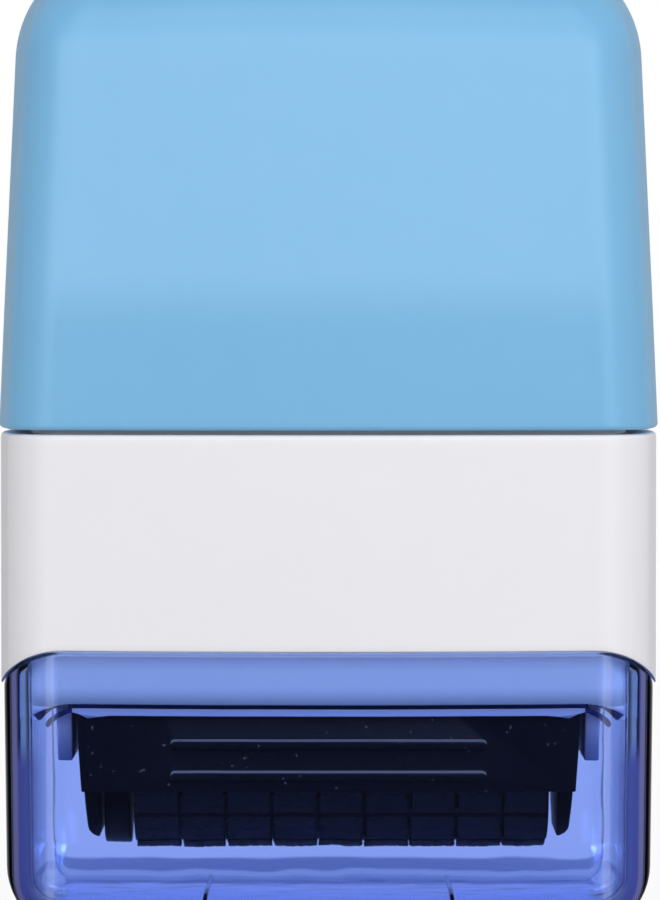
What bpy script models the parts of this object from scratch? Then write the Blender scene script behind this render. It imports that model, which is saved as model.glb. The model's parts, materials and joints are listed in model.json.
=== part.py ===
"""Privacy roller stamp: a hand-held roller that prints over an address.

The light blue handle is a hollow shell. A white refill unit slides up into
it and carries a black cartridge with a relief-covered type roller, and a
foam ink roller that rests on it. A clear blue cap closes the roller's mouth.

Everything is in metres. +Z is up, the stamp stands on its cap at Z = 0, its
front looks along -Y, and its width runs along X.
"""

import math

import bmesh
import bpy
from mathutils import Matrix, Vector

# Overall form
BODY_WIDTH = 0.0450
BODY_DEPTH = 0.0300
TOTAL_HEIGHT = 0.0660
SEAM_HEIGHT = 0.0341
CORNER_RADIUS = 0.0043
FRONT_BOW = 0.0012
SIDE_BOW = 0.0009

# Clearances: between still pieces, and between a shaft and its bore
FIT_GAP = 0.0003
RUN_GAP = 0.00015
CUT_OVERRUN = 0.0020
MERGE_DISTANCE = 0.000015

# Handle shell
HANDLE_WALL = 0.0016
HANDLE_STEP = 0.0001
SIDE_TAPER_ANGLE = math.radians(2.5)
LEAN_RISE = 0.0088
LEAN_ANGLE = math.radians(9.9)
LEAN_BLEND = 0.0020
CROWN_HEIGHT = 0.0065
CROWN_INSET = 0.0050
CORNER_LIMIT_SHARE = 0.9
EDGE_ROUND = 0.0003

# Cap
CAP_HEIGHT = 0.0195
CAP_WALL = 0.0012
CAP_FLOOR = 0.0020
CAP_STEP = 0.0002
CAP_BOTTOM_ROUND = 0.0043
CAP_DRAFT = 0.00015
RIM_FALL_START = 0.0048
RIM_FALL_WIDTH = 0.0050
RIM_FALL_HEIGHT = 0.0046
FLOOR_RIB_OFFSET = 0.0083
FLOOR_RIB_WIDTH = 0.0006
FLOOR_RIB_HEIGHT = 0.0005

# White refill housing
NECK_REACH = 0.0035
NECK_SIDE_WALL = 0.00345
NECK_FRONT_WALL = 0.0022
NECK_FALL_STEP = 0.0009
LIP_INSET = 0.0010
LIP_DROP = 0.00055
FIN_WIDTH = 0.0009
FIN_HALF_DEPTH = 0.0090
FIN_BOTTOM = 0.0122
DECK_THICKNESS = 0.0017
SPIGOT_HEIGHT = 0.0065
LATCH_WIDTH = 0.0034
LATCH_HEIGHT = 0.0030
LATCH_PROUD = 0.0007

# Black cartridge
ROLLER_HEADROOM = 0.0049
WALL_BOTTOM = 0.0100
CHEEK_BOTTOM = 0.0064
CHEEK_THICKNESS = 0.0014
CHEEK_TAPER = 0.0006
TAPER_TOP = 0.0155
CHEEK_CORNER = 0.0009
TAB_HALF_DEPTH = 0.0070
FACE_THICKNESS = 0.0012
GRIP_RIB_MARGIN = 0.00635
GRIP_RIB_HEIGHT = 0.00055
GRIP_RIB_PROUD = 0.0005
GRIP_RIB_RISE = 0.0011
GRIP_RIB_PITCH = 0.0021
LID_THICKNESS = 0.0014
LID_PLUG_DEPTH = 0.0010

# Type roller
TYPE_AXIS_HEIGHT = 0.0123
TYPE_RADIUS = 0.0070
RELIEF_DEPTH = 0.00045
SLEEVE_THICKNESS = 0.0014
TYPE_END_GAP_LEFT = 0.0003
TYPE_END_GAP_RIGHT = 0.0006
RELIEF_COLUMNS = 9
RELIEF_ROWS = 14
COLUMN_GAP = 0.00045
COLUMN_GAP_DEPTH = 0.00044
ROW_GAP_SHARE = 0.24
FLANGE_WIDTH = 0.0017
FLANGE_DROP = 0.0003
RIGHT_FLANGE_WIDTH = 0.0012
TYPE_AXLE_RADIUS = 0.0010
BUSH_WALL = 0.0009

# Ink roller
INK_RADIUS = 0.0062
INK_CORE_RADIUS = 0.0030
INK_END_GAP = 0.0007
INK_FLANGE_RADIUS = 0.0048
INK_FLANGE_WIDTH = 0.0009
INK_AXLE_RADIUS = 0.0009
BLOCK_HALF_WIDTH = 0.0022
SPRING_THICKNESS = 0.00025
AXLE_CHAMFER = 0.0002

# Smoothness of the faceted forms
CORNER_STEPS = 6
FRONT_STEPS = 8
SIDE_STEPS = 4
ROUND_STEPS = 32
SMALL_STEPS = 20
FALL_STEPS = 8

# Heights and half sizes that follow from the sizes above
HOUSING_HALF_WIDTH = BODY_WIDTH / 2
HOUSING_HALF_DEPTH = BODY_DEPTH / 2 - HANDLE_STEP
CAP_HALF_WIDTH = HOUSING_HALF_WIDTH - CAP_STEP
CAP_HALF_DEPTH = HOUSING_HALF_DEPTH - CAP_STEP
RIM_FLAT_HALF = HOUSING_HALF_WIDTH - RIM_FALL_START
NECK_FLAT_HALF = RIM_FLAT_HALF - NECK_FALL_STEP
NECK_INSET = CAP_WALL + CAP_DRAFT + FIT_GAP
NECK_BOTTOM = CAP_HEIGHT - NECK_REACH
WELL_HALF_WIDTH = CAP_HALF_WIDTH - NECK_INSET - NECK_SIDE_WALL
WELL_HALF_DEPTH = CAP_HALF_DEPTH - NECK_INSET - NECK_FRONT_WALL
CARTRIDGE_HALF_WIDTH = WELL_HALF_WIDTH - FIT_GAP
CARTRIDGE_HALF_DEPTH = WELL_HALF_DEPTH - FIT_GAP
CHEEK_INSIDE = CARTRIDGE_HALF_WIDTH - CHEEK_THICKNESS
FACE_INSIDE = CARTRIDGE_HALF_DEPTH - FACE_THICKNESS
GRIP_RIB_HALF_LENGTH = CARTRIDGE_HALF_WIDTH - GRIP_RIB_MARGIN
INK_AXIS_HEIGHT = TYPE_AXIS_HEIGHT + TYPE_RADIUS + FIT_GAP + INK_RADIUS
CARTRIDGE_TOP = INK_AXIS_HEIGHT + INK_RADIUS + ROLLER_HEADROOM
LID_BOTTOM = CARTRIDGE_TOP + FIT_GAP
LID_TOP = LID_BOTTOM + LID_THICKNESS
WELL_ROOF = LID_TOP + FIT_GAP
DECK_TOP = max(WELL_ROOF + DECK_THICKNESS, SEAM_HEIGHT + SPIGOT_HEIGHT)
HANDLE_BOTTOM = SEAM_HEIGHT + FIT_GAP
LEAN_HEIGHT = SEAM_HEIGHT + LEAN_RISE
SHOULDER_HEIGHT = TOTAL_HEIGHT - CROWN_HEIGHT
SPIGOT_INSET = HANDLE_WALL + FIT_GAP
TYPE_LEFT = -CHEEK_INSIDE + TYPE_END_GAP_LEFT
TYPE_RIGHT = CHEEK_INSIDE - TYPE_END_GAP_RIGHT
SLEEVE_LEFT = TYPE_LEFT + FLANGE_WIDTH + FIT_GAP
CORE_RADIUS = TYPE_RADIUS - SLEEVE_THICKNESS - FIT_GAP
BUSH_BORE = TYPE_AXLE_RADIUS + RUN_GAP
BUSH_RADIUS = BUSH_BORE + BUSH_WALL
INK_HALF_LENGTH = CHEEK_INSIDE - INK_END_GAP
AXLE_HALF_LENGTH = CARTRIDGE_HALF_WIDTH - FIT_GAP
LATCH_MIDDLE = (HANDLE_BOTTOM + DECK_TOP) / 2

BLUE = (0.246, 0.509, 0.761)
WHITE = (0.800, 0.790, 0.820)
CLEAR_BLUE = (0.130, 0.215, 0.680)
BLACK = (0.012, 0.012, 0.018)
RUBBER = (0.020, 0.020, 0.026)
FOAM = (0.035, 0.033, 0.045)
STEEL = (0.560, 0.570, 0.580)
ACETAL = (0.720, 0.710, 0.680)

PARTS = "privacy_roller_stamp"
CUTTERS = "cutters"


def clear_scene():
    """Remove whatever the scene holds, and make the two collections."""
    for old in list(bpy.data.objects):
        bpy.data.objects.remove(old, do_unlink=True)
    for name in (PARTS, CUTTERS):
        fresh = bpy.data.collections.new(name)
        bpy.context.scene.collection.children.link(fresh)


def make_material(name, colour, roughness, metallic=0.0, alpha=1.0):
    """A plain finish for one sub-part."""
    finish = bpy.data.materials.new(name)
    finish.use_nodes = True
    surface = finish.node_tree.nodes["Principled BSDF"]
    surface.inputs["Base Color"].default_value = (*colour, 1.0)
    surface.inputs["Roughness"].default_value = roughness
    surface.inputs["Metallic"].default_value = metallic
    surface.inputs["Alpha"].default_value = alpha
    return finish


def add_object(name, mesh, collection):
    """Put a mesh in the scene under the given name."""
    made = bpy.data.objects.new(name, mesh)
    bpy.data.collections[collection].objects.link(made)
    if collection == CUTTERS:
        made.hide_render = True
        made.display_type = "WIRE"
    return made


def finish_part(part, colour, roughness, metallic=0.0, alpha=1.0):
    """Give a sub-part its own material and smooth shading."""
    finish = make_material(part.name + "_finish", colour, roughness, metallic, alpha)
    part.data.materials.append(finish)
    part.data.shade_smooth()
    part.data.set_sharp_from_angle(angle=math.radians(30))


def boolean(target, tool, operation):
    """Cut a target with a tool, join them, or keep what they share."""
    step = target.modifiers.new(operation.lower() + "_" + tool.name, "BOOLEAN")
    step.operation = operation
    step.solver = "EXACT"
    step.object = tool


def mix(low, high, share):
    """The value that lies a share of the way from low to high."""
    return low + (high - low) * share


def plan_ring(half_width, half_depth, corner, height):
    """One level section: round corners joined by four gently bowed sides.

    The points run anticlockwise, seen from above, from the front right corner.
    """
    room = min(half_width - SIDE_BOW, half_depth - FRONT_BOW)
    corner = min(corner, room * CORNER_LIMIT_SHARE)
    centre_x = half_width - SIDE_BOW - corner
    centre_y = half_depth - FRONT_BOW - corner
    points = []
    quarters = ((1, -1, -90), (1, 1, 0), (-1, 1, 90), (-1, -1, 180))
    for side_x, side_y, start in quarters:
        for step in range(CORNER_STEPS + 1):
            angle = math.radians(start + 90 * step / CORNER_STEPS)
            x = side_x * centre_x + corner * math.cos(angle)
            y = side_y * centre_y + corner * math.sin(angle)
            points.append(Vector((x, y, height)))
        along_side = side_x * side_y < 0
        steps = SIDE_STEPS if along_side else FRONT_STEPS
        for step in range(1, steps):
            run = 2 * step / steps - 1
            bulge = 1 - run * run
            if along_side:
                x = side_x * (centre_x + corner + SIDE_BOW * bulge)
                y = side_x * run * centre_y
            else:
                x = -side_y * run * centre_x
                y = side_y * (centre_y + corner + FRONT_BOW * bulge)
            points.append(Vector((x, y, height)))
    return points


def inset_ring(half_width, half_depth, inset, height):
    """A level section of the body drawn in evenly by an inset."""
    corner = max(CORNER_RADIUS - inset, FIT_GAP)
    return plan_ring(half_width - inset, half_depth - inset, corner, height)


def loft(name, rings, collection, close_bottom=True):
    """Skin a stack of sections, given from the lowest to the highest."""
    mesh = bpy.data.meshes.new(name)
    shape = bmesh.new()
    levels = [[shape.verts.new(point) for point in ring] for ring in rings]
    count = len(levels[0])
    for low, high in zip(levels, levels[1:]):
        for index in range(count):
            after = (index + 1) % count
            shape.faces.new((low[index], low[after], high[after], high[index]))
    shape.faces.new(levels[-1])
    if close_bottom:
        shape.faces.new(list(reversed(levels[0])))
    shape.to_mesh(mesh)
    shape.free()
    return add_object(name, mesh, collection)


def box(name, low, high, collection=CUTTERS):
    """A block between two corners."""
    low = Vector(low)
    high = Vector(high)
    mesh = bpy.data.meshes.new(name)
    shape = bmesh.new()
    size = Matrix.Diagonal((*(high - low), 1.0))
    place = Matrix.Translation((low + high) / 2) @ size
    bmesh.ops.create_cube(shape, size=1.0, matrix=place)
    shape.to_mesh(mesh)
    shape.free()
    return add_object(name, mesh, collection)


ACROSS_DEPTH = Matrix(((1, 0, 0, 0), (0, 0, -1, 0), (0, 1, 0, 0), (0, 0, 0, 1)))
ACROSS_WIDTH = Matrix(((0, 0, 1, 0), (1, 0, 0, 0), (0, 1, 0, 0), (0, 0, 0, 1)))


def plate(name, outlines, thickness, turn, centre, collection):
    """Extrude flat outlines; later outlines inside the first are holes.

    ACROSS_DEPTH stands the outline up facing the front, and ACROSS_WIDTH
    stands it up facing the side.
    """
    curve = bpy.data.curves.new(name + "_outline", "CURVE")
    curve.dimensions = "2D"
    curve.fill_mode = "BOTH"
    curve.extrude = thickness / 2
    for outline in outlines:
        spline = curve.splines.new("POLY")
        spline.points.add(len(outline) - 1)
        for point, (across, up) in zip(spline.points, outline):
            point.co = (across, up, 0.0, 1.0)
        spline.use_cyclic_u = True
    guide = bpy.data.objects.new(name + "_outline", curve)
    bpy.data.collections[CUTTERS].objects.link(guide)
    guide.matrix_world = Matrix.Translation(centre) @ turn
    graph = bpy.context.evaluated_depsgraph_get()
    mesh = bpy.data.meshes.new_from_object(guide.evaluated_get(graph))
    shape = bmesh.new()
    shape.from_mesh(mesh)
    bmesh.ops.remove_doubles(shape, verts=shape.verts, dist=MERGE_DISTANCE)
    bmesh.ops.recalc_face_normals(shape, faces=shape.faces)
    shape.to_mesh(mesh)
    shape.free()
    made = add_object(name, mesh, collection)
    made.matrix_world = guide.matrix_world
    bpy.data.objects.remove(guide, do_unlink=True)
    return made


def circle(radius, steps, centre_height=0.0):
    """A round outline."""
    turns = [2 * math.pi * step / steps for step in range(steps)]
    return [
        (radius * math.cos(turn), centre_height + radius * math.sin(turn))
        for turn in turns
    ]


def turned(name, profile, axis_height, steps, closed, collection=PARTS):
    """Spin a profile of (radius, place along X) points about a level axis.

    The profile starts at its right-hand end and runs left down its outside.
    """
    mesh = bpy.data.meshes.new(name)
    points = [(radius, 0.0, along) for radius, along in profile]
    edges = [(index, index + 1) for index in range(len(points) - 1)]
    if closed:
        edges.append((len(points) - 1, 0))
    mesh.from_pydata(points, edges, [])
    made = add_object(name, mesh, collection)
    made.location = (0.0, 0.0, axis_height)
    made.rotation_euler = (0.0, math.radians(90), 0.0)
    spin = made.modifiers.new("spin", "SCREW")
    spin.steps = steps
    spin.render_steps = steps
    spin.use_merge_vertices = True
    spin.merge_threshold = MERGE_DISTANCE
    spin.use_smooth_shade = True
    return made


def rod(name, radius, half_length, axis_height):
    """A pin with chamfered ends, spun about a level axis."""
    profile = [
        (0.0, half_length),
        (radius - AXLE_CHAMFER, half_length),
        (radius, half_length - AXLE_CHAMFER),
        (radius, -half_length + AXLE_CHAMFER),
        (radius - AXLE_CHAMFER, -half_length),
        (0.0, -half_length),
    ]
    return turned(name, profile, axis_height, SMALL_STEPS, closed=False)


def collar(name, radius, bore, left, right, axis_height, steps, collection=PARTS):
    """A round piece with a through bore, spun about a level axis."""
    profile = [(radius, right), (radius, left), (bore, left), (bore, right)]
    return turned(name, profile, axis_height, steps, True, collection)


def falling_line(flat_half, top, grow):
    """The parting line in front view: level, then falling at both ends.

    Each end is a quarter of an oval. Growing moves the line outwards.
    """
    wide = RIM_FALL_WIDTH + grow
    tall = RIM_FALL_HEIGHT + grow
    line = []
    for step in range(FALL_STEPS + 1):
        angle = math.pi / 2 * step / FALL_STEPS
        across = flat_half + wide * math.sin(angle)
        height = top + grow - tall * (1 - math.cos(angle))
        line.append((across, height))
    return [(-across, height) for across, height in reversed(line)] + line


def region_above(name, flat_half, top, grow):
    """Everything over a parting line, as a cutter."""
    line = falling_line(flat_half, top, grow)
    end = BODY_WIDTH / 2 + CUT_OVERRUN
    roof = TOTAL_HEIGHT
    low = line[0][1]
    outline = [(-end, roof), (-end, low)] + line + [(end, low), (end, roof)]
    return plate(
        name, [outline], BODY_DEPTH + CUT_OVERRUN, ACROSS_DEPTH, Vector(), CUTTERS
    )


def region_below(name, flat_half, top, grow):
    """Everything under a parting line, as a cutter."""
    line = falling_line(flat_half, top, grow)
    end = BODY_WIDTH / 2 + CUT_OVERRUN
    ground = -CUT_OVERRUN
    low = line[0][1]
    outline = [(-end, ground), (-end, low)] + line + [(end, low), (end, ground)]
    return plate(
        name, [outline], BODY_DEPTH + CUT_OVERRUN, ACROSS_DEPTH, Vector(), CUTTERS
    )


def handle_half_sizes(height):
    """The handle's outer half width and half depth at one height."""
    tapered = (height - HANDLE_BOTTOM) * math.tan(SIDE_TAPER_ANGLE)
    half_width = BODY_WIDTH / 2 + HANDLE_STEP - tapered
    above = height - LEAN_HEIGHT
    if above < -LEAN_BLEND:
        leaned = 0.0
    elif above < LEAN_BLEND:
        leaned = (above + LEAN_BLEND) ** 2 / (4 * LEAN_BLEND)
    else:
        leaned = above
    return half_width, BODY_DEPTH / 2 - leaned * math.tan(LEAN_ANGLE)


def handle_rings():
    """The handle's sections, from its lower edge to the top of its crown."""
    rings = []
    half_width, half_depth = handle_half_sizes(HANDLE_BOTTOM)
    rings.append(inset_ring(half_width, half_depth, EDGE_ROUND, HANDLE_BOTTOM))
    rings.append(inset_ring(half_width, half_depth, 0.0, HANDLE_BOTTOM + EDGE_ROUND))
    for share in (-1.0, -0.4, 0.4, 1.0):
        height = LEAN_HEIGHT + LEAN_BLEND * share
        half_width, half_depth = handle_half_sizes(height)
        rings.append(inset_ring(half_width, half_depth, 0.0, height))
    for step in range(FALL_STEPS + 1):
        angle = math.pi / 2 * step / FALL_STEPS
        height = SHOULDER_HEIGHT + CROWN_HEIGHT * math.sin(angle)
        inset = CROWN_INSET * (1 - math.cos(angle))
        half_width, half_depth = handle_half_sizes(height)
        rings.append(
            plan_ring(half_width - inset, half_depth - inset, CORNER_RADIUS, height)
        )
    return rings


def make_handle():
    """The light blue shell: hollow, open below, with a groove for each latch."""
    shell = loft("handle_shell", handle_rings(), PARTS, close_bottom=False)
    wall = shell.modifiers.new("wall", "SOLIDIFY")
    wall.thickness = HANDLE_WALL
    wall.offset = -1.0
    wall.use_even_offset = True
    outside, _ = handle_half_sizes(LATCH_MIDDLE)
    reach = outside - SPIGOT_INSET + LATCH_PROUD + FIT_GAP
    half = LATCH_WIDTH / 2 + FIT_GAP
    low = HANDLE_BOTTOM - CUT_OVERRUN
    high = LATCH_MIDDLE + LATCH_HEIGHT / 2 + FIT_GAP
    groove = box("latch_groove", (-reach, -half, low), (reach, half, high))
    boolean(shell, groove, "DIFFERENCE")
    finish_part(shell, BLUE, 0.32)


def make_housing():
    """The white refill housing: band, neck, spigot, guide fins and deep well."""
    width = HOUSING_HALF_WIDTH
    depth = HOUSING_HALF_DEPTH
    band_low = CAP_HEIGHT - RIM_FALL_HEIGHT
    band = [
        inset_ring(width, depth, 0.0, band_low),
        inset_ring(width, depth, 0.0, SEAM_HEIGHT - EDGE_ROUND),
        inset_ring(width, depth, EDGE_ROUND, SEAM_HEIGHT),
    ]
    housing = loft("refill_housing", band, PARTS)
    under_band = region_below("under_band", RIM_FLAT_HALF, CAP_HEIGHT, FIT_GAP)
    boolean(housing, under_band, "DIFFERENCE")

    joined = SEAM_HEIGHT - CUT_OVERRUN
    neck_low = NECK_BOTTOM - RIM_FALL_HEIGHT
    for name, inset, drop in (
        ("neck", NECK_INSET, 0.0),
        ("neck_lip", NECK_INSET + LIP_INSET, LIP_DROP),
    ):
        rings = [
            inset_ring(CAP_HALF_WIDTH, CAP_HALF_DEPTH, inset, neck_low - drop),
            inset_ring(CAP_HALF_WIDTH, CAP_HALF_DEPTH, inset, joined - drop),
        ]
        neck = loft(name, rings, CUTTERS)
        under_neck = region_below(
            "under_" + name, NECK_FLAT_HALF, NECK_BOTTOM - drop, 0.0
        )
        boolean(neck, under_neck, "DIFFERENCE")
        boolean(housing, neck, "UNION")

    half_width, half_depth = handle_half_sizes(DECK_TOP)
    spigot = [
        inset_ring(half_width, half_depth, SPIGOT_INSET, joined),
        inset_ring(half_width, half_depth, SPIGOT_INSET, DECK_TOP - EDGE_ROUND),
        inset_ring(half_width, half_depth, SPIGOT_INSET + EDGE_ROUND, DECK_TOP),
    ]
    boolean(housing, loft("spigot", spigot, CUTTERS), "UNION")
    outside, _ = handle_half_sizes(LATCH_MIDDLE)
    reach = outside - SPIGOT_INSET + LATCH_PROUD
    half = LATCH_WIDTH / 2
    low = LATCH_MIDDLE - LATCH_HEIGHT / 2
    high = LATCH_MIDDLE + LATCH_HEIGHT / 2
    latch = box("latch_bumps", (-reach, -half, low), (reach, half, high))
    boolean(housing, latch, "UNION")

    for name, side in (("fin_left", -1), ("fin_right", 1)):
        inner = side * (WELL_HALF_WIDTH - FIN_WIDTH)
        outer = side * (WELL_HALF_WIDTH + FIN_WIDTH)
        fin = box(
            name,
            (min(inner, outer), -FIN_HALF_DEPTH, FIN_BOTTOM),
            (max(inner, outer), FIN_HALF_DEPTH, CAP_HEIGHT),
        )
        boolean(housing, fin, "UNION")

    well = box(
        "cartridge_well",
        (-WELL_HALF_WIDTH, -WELL_HALF_DEPTH, -CUT_OVERRUN),
        (WELL_HALF_WIDTH, WELL_HALF_DEPTH, WELL_ROOF),
    )
    boolean(housing, well, "DIFFERENCE")
    finish_part(housing, WHITE, 0.35)


def cap_rings(inset, floor, bottom_round):
    """Sections of the cap's outside, or of its inside when drawn in."""
    rings = []
    for step in range(FALL_STEPS // 2 + 1):
        angle = math.pi / 2 * step / (FALL_STEPS // 2)
        round_in = bottom_round * (1 - math.sin(angle))
        height = floor + bottom_round * (1 - math.cos(angle))
        rings.append((round_in + CAP_DRAFT, height))
    rings.append((0.0, CAP_HEIGHT + CUT_OVERRUN))
    return [
        inset_ring(CAP_HALF_WIDTH, CAP_HALF_DEPTH, inset + drawn_in, height)
        for drawn_in, height in rings
    ]


def make_cap():
    """The clear blue cap: a round-bottomed tub whose mouth dips at both sides."""
    outside = cap_rings(0.0, 0.0, CAP_BOTTOM_ROUND)
    cap = loft("cap_shell", outside, PARTS)
    inside_round = CAP_BOTTOM_ROUND - CAP_FLOOR
    inside = cap_rings(CAP_WALL, CAP_FLOOR, inside_round)
    boolean(cap, loft("cap_inside", inside, CUTTERS), "DIFFERENCE")
    over_cap = region_above("over_cap", RIM_FLAT_HALF, CAP_HEIGHT, 0.0)
    boolean(cap, over_cap, "DIFFERENCE")
    reach = CAP_HALF_DEPTH - FRONT_BOW - CAP_WALL - inside_round
    for name, side in (("floor_rib_left", -1), ("floor_rib_right", 1)):
        middle = side * FLOOR_RIB_OFFSET
        low = (middle - FLOOR_RIB_WIDTH / 2, -reach, CAP_FLOOR / 2)
        high = (middle + FLOOR_RIB_WIDTH / 2, reach, CAP_FLOOR + FLOOR_RIB_HEIGHT)
        boolean(cap, box(name, low, high), "UNION")
    finish_part(cap, CLEAR_BLUE, 0.08, alpha=0.55)


def cartridge_front_outline():
    """The cartridge seen from the front: its cheeks lean in towards the foot."""
    wide = CARTRIDGE_HALF_WIDTH
    foot = CARTRIDGE_HALF_WIDTH - CHEEK_TAPER
    side = [(wide, CARTRIDGE_TOP), (wide, TAPER_TOP)]
    for step in range(SIDE_STEPS + 1):
        angle = math.pi / 2 * step / SIDE_STEPS
        across = foot - CHEEK_CORNER * (1 - math.cos(angle))
        height = CHEEK_BOTTOM + CHEEK_CORNER * (1 - math.sin(angle))
        side.append((across, height))
    return [(-across, height) for across, height in reversed(side)] + side


def cartridge_side_outline():
    """The cartridge seen from the side: the cheeks end in round-nosed tabs."""
    deep = CARTRIDGE_HALF_DEPTH
    nose = WALL_BOTTOM - CHEEK_BOTTOM + FIT_GAP
    roof = CARTRIDGE_TOP + CUT_OVERRUN
    side = [(deep, roof), (deep, WALL_BOTTOM), (TAB_HALF_DEPTH, WALL_BOTTOM)]
    for step in range(1, SIDE_STEPS + 1):
        angle = math.pi / 2 * step / SIDE_STEPS
        across = TAB_HALF_DEPTH - nose * (1 - math.cos(angle))
        height = WALL_BOTTOM - nose * math.sin(angle)
        side.append((across, height))
    return [(-across, height) for across, height in reversed(side)] + side


def grip_rib_outline(middle):
    """A level bar with round ends."""
    radius = GRIP_RIB_HEIGHT / 2
    straight = GRIP_RIB_HALF_LENGTH - radius
    outline = []
    for side, start in ((1, -90), (-1, 90)):
        for step in range(SIDE_STEPS + 1):
            angle = math.radians(start + 180 * step / SIDE_STEPS)
            across = side * straight + radius * math.cos(angle)
            outline.append((across, middle + radius * math.sin(angle)))
    return outline


def make_cartridge():
    """The black frame that carries both rollers, and the lid that closes it."""
    frame = plate(
        "cartridge_frame",
        [cartridge_front_outline()],
        2 * (CARTRIDGE_HALF_DEPTH + CUT_OVERRUN),
        ACROSS_DEPTH,
        Vector(),
        PARTS,
    )
    side_view = plate(
        "cartridge_side",
        [cartridge_side_outline()],
        2 * (CARTRIDGE_HALF_WIDTH + CUT_OVERRUN),
        ACROSS_WIDTH,
        Vector(),
        CUTTERS,
    )
    boolean(frame, side_view, "INTERSECT")
    for row in range(2):
        middle = WALL_BOTTOM + GRIP_RIB_RISE + row * GRIP_RIB_PITCH
        ribs = plate(
            "grip_ribs_" + str(row),
            [grip_rib_outline(middle)],
            2 * (CARTRIDGE_HALF_DEPTH + GRIP_RIB_PROUD),
            ACROSS_DEPTH,
            Vector(),
            CUTTERS,
        )
        boolean(frame, ribs, "UNION")
    inside = box(
        "cartridge_inside",
        (-CHEEK_INSIDE, -FACE_INSIDE, CHEEK_BOTTOM - CUT_OVERRUN),
        (CHEEK_INSIDE, FACE_INSIDE, CARTRIDGE_TOP + CUT_OVERRUN),
    )
    boolean(frame, inside, "DIFFERENCE")
    hole = BUSH_RADIUS + RUN_GAP
    reach = CARTRIDGE_HALF_WIDTH + CUT_OVERRUN
    drill = [(0.0, reach), (hole, reach), (hole, -reach), (0.0, -reach)]
    bush_holes = turned(
        "bush_holes", drill, TYPE_AXIS_HEIGHT, SMALL_STEPS, False, CUTTERS
    )
    boolean(frame, bush_holes, "DIFFERENCE")
    slots = plate(
        "bearing_slots",
        [block_outline(FIT_GAP, CARTRIDGE_TOP + CUT_OVERRUN)],
        2 * reach,
        ACROSS_WIDTH,
        Vector(),
        CUTTERS,
    )
    boolean(frame, slots, "DIFFERENCE")
    finish_part(frame, BLACK, 0.38)

    lid = box(
        "cartridge_lid",
        (-CARTRIDGE_HALF_WIDTH, -CARTRIDGE_HALF_DEPTH, LID_BOTTOM),
        (CARTRIDGE_HALF_WIDTH, CARTRIDGE_HALF_DEPTH, LID_TOP),
        PARTS,
    )
    plug = box(
        "lid_plug",
        (FIT_GAP - CHEEK_INSIDE, FIT_GAP - FACE_INSIDE, LID_BOTTOM - LID_PLUG_DEPTH),
        (CHEEK_INSIDE - FIT_GAP, FACE_INSIDE - FIT_GAP, LID_TOP - LID_THICKNESS / 2),
    )
    boolean(lid, plug, "UNION")
    finish_part(lid, BLACK, 0.38)


def block_outline(grow, top):
    """An ink bearing from the side: a round foot under straight sides."""
    half = BLOCK_HALF_WIDTH + grow
    outline = [(-half, top)]
    steps = SMALL_STEPS // 2
    for step in range(steps + 1):
        angle = math.pi + math.pi * step / steps
        across = half * math.cos(angle)
        outline.append((across, INK_AXIS_HEIGHT + half * math.sin(angle)))
    outline.append((half, top))
    return outline


def make_bearings():
    """Bushes for the type axle, and sprung blocks for the ink axle."""
    block_top = INK_AXIS_HEIGHT + BLOCK_HALF_WIDTH
    taper_share = (TAPER_TOP - TYPE_AXIS_HEIGHT) / (TAPER_TOP - CHEEK_BOTTOM)
    cheek_outside = CARTRIDGE_HALF_WIDTH - CHEEK_TAPER * taper_share
    for side_name, side in (("left", -1), ("right", 1)):
        ends = sorted((side * CHEEK_INSIDE, side * cheek_outside))
        bush = collar(
            "type_bush_" + side_name,
            BUSH_RADIUS,
            BUSH_BORE,
            ends[0],
            ends[1],
            TYPE_AXIS_HEIGHT,
            SMALL_STEPS,
        )
        finish_part(bush, ACETAL, 0.45)

        centre = side * (CARTRIDGE_HALF_WIDTH - CHEEK_THICKNESS / 2)
        bore = circle(INK_AXLE_RADIUS + RUN_GAP, SMALL_STEPS, INK_AXIS_HEIGHT)
        block = plate(
            "ink_bearing_" + side_name,
            [block_outline(0.0, block_top), bore],
            CHEEK_THICKNESS,
            ACROSS_WIDTH,
            Vector((centre, 0.0, 0.0)),
            PARTS,
        )
        finish_part(block, ACETAL, 0.45)
        make_spring("pressure_spring_" + side_name, centre, block_top + FIT_GAP)


def make_spring(name, centre, bottom):
    """A bowed strip that presses one ink bearing down from the lid."""
    half_width = CHEEK_THICKNESS / 2 - FIT_GAP / 2
    half_span = BLOCK_HALF_WIDTH - SPRING_THICKNESS
    low = bottom + SPRING_THICKNESS / 2
    high = LID_BOTTOM - FIT_GAP - SPRING_THICKNESS / 2
    mesh = bpy.data.meshes.new(name)
    shape = bmesh.new()
    steps = ROUND_STEPS // 2
    rows = []
    for step in range(steps + 1):
        run = 2 * step / steps - 1
        height = mix(low, high, run * run)
        rows.append(
            [
                shape.verts.new((centre + side * half_width, run * half_span, height))
                for side in (-1, 1)
            ]
        )
    for here, after in zip(rows, rows[1:]):
        shape.faces.new((here[0], here[1], after[1], after[0]))
    shape.to_mesh(mesh)
    shape.free()
    spring = add_object(name, mesh, PARTS)
    strip = spring.modifiers.new("strip", "SOLIDIFY")
    strip.thickness = SPRING_THICKNESS
    strip.offset = 0.0
    strip.use_even_offset = True
    finish_part(spring, STEEL, 0.3, metallic=1.0)


def relief_outline():
    """The type sleeve in section: raised rows around it, like a broad gear."""
    pitch = 2 * math.pi / RELIEF_ROWS
    gap = pitch * ROW_GAP_SHARE
    low = TYPE_RADIUS - RELIEF_DEPTH
    outline = []
    for row in range(RELIEF_ROWS):
        start = row * pitch
        for radius, share in (
            (low, 0.0),
            (TYPE_RADIUS, 0.0),
            (TYPE_RADIUS, 0.5),
            (TYPE_RADIUS, 1.0),
            (low, 1.0),
        ):
            angle = start + gap / 2 + (pitch - gap) * share
            outline.append((radius * math.cos(angle), radius * math.sin(angle)))
    return outline


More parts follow.
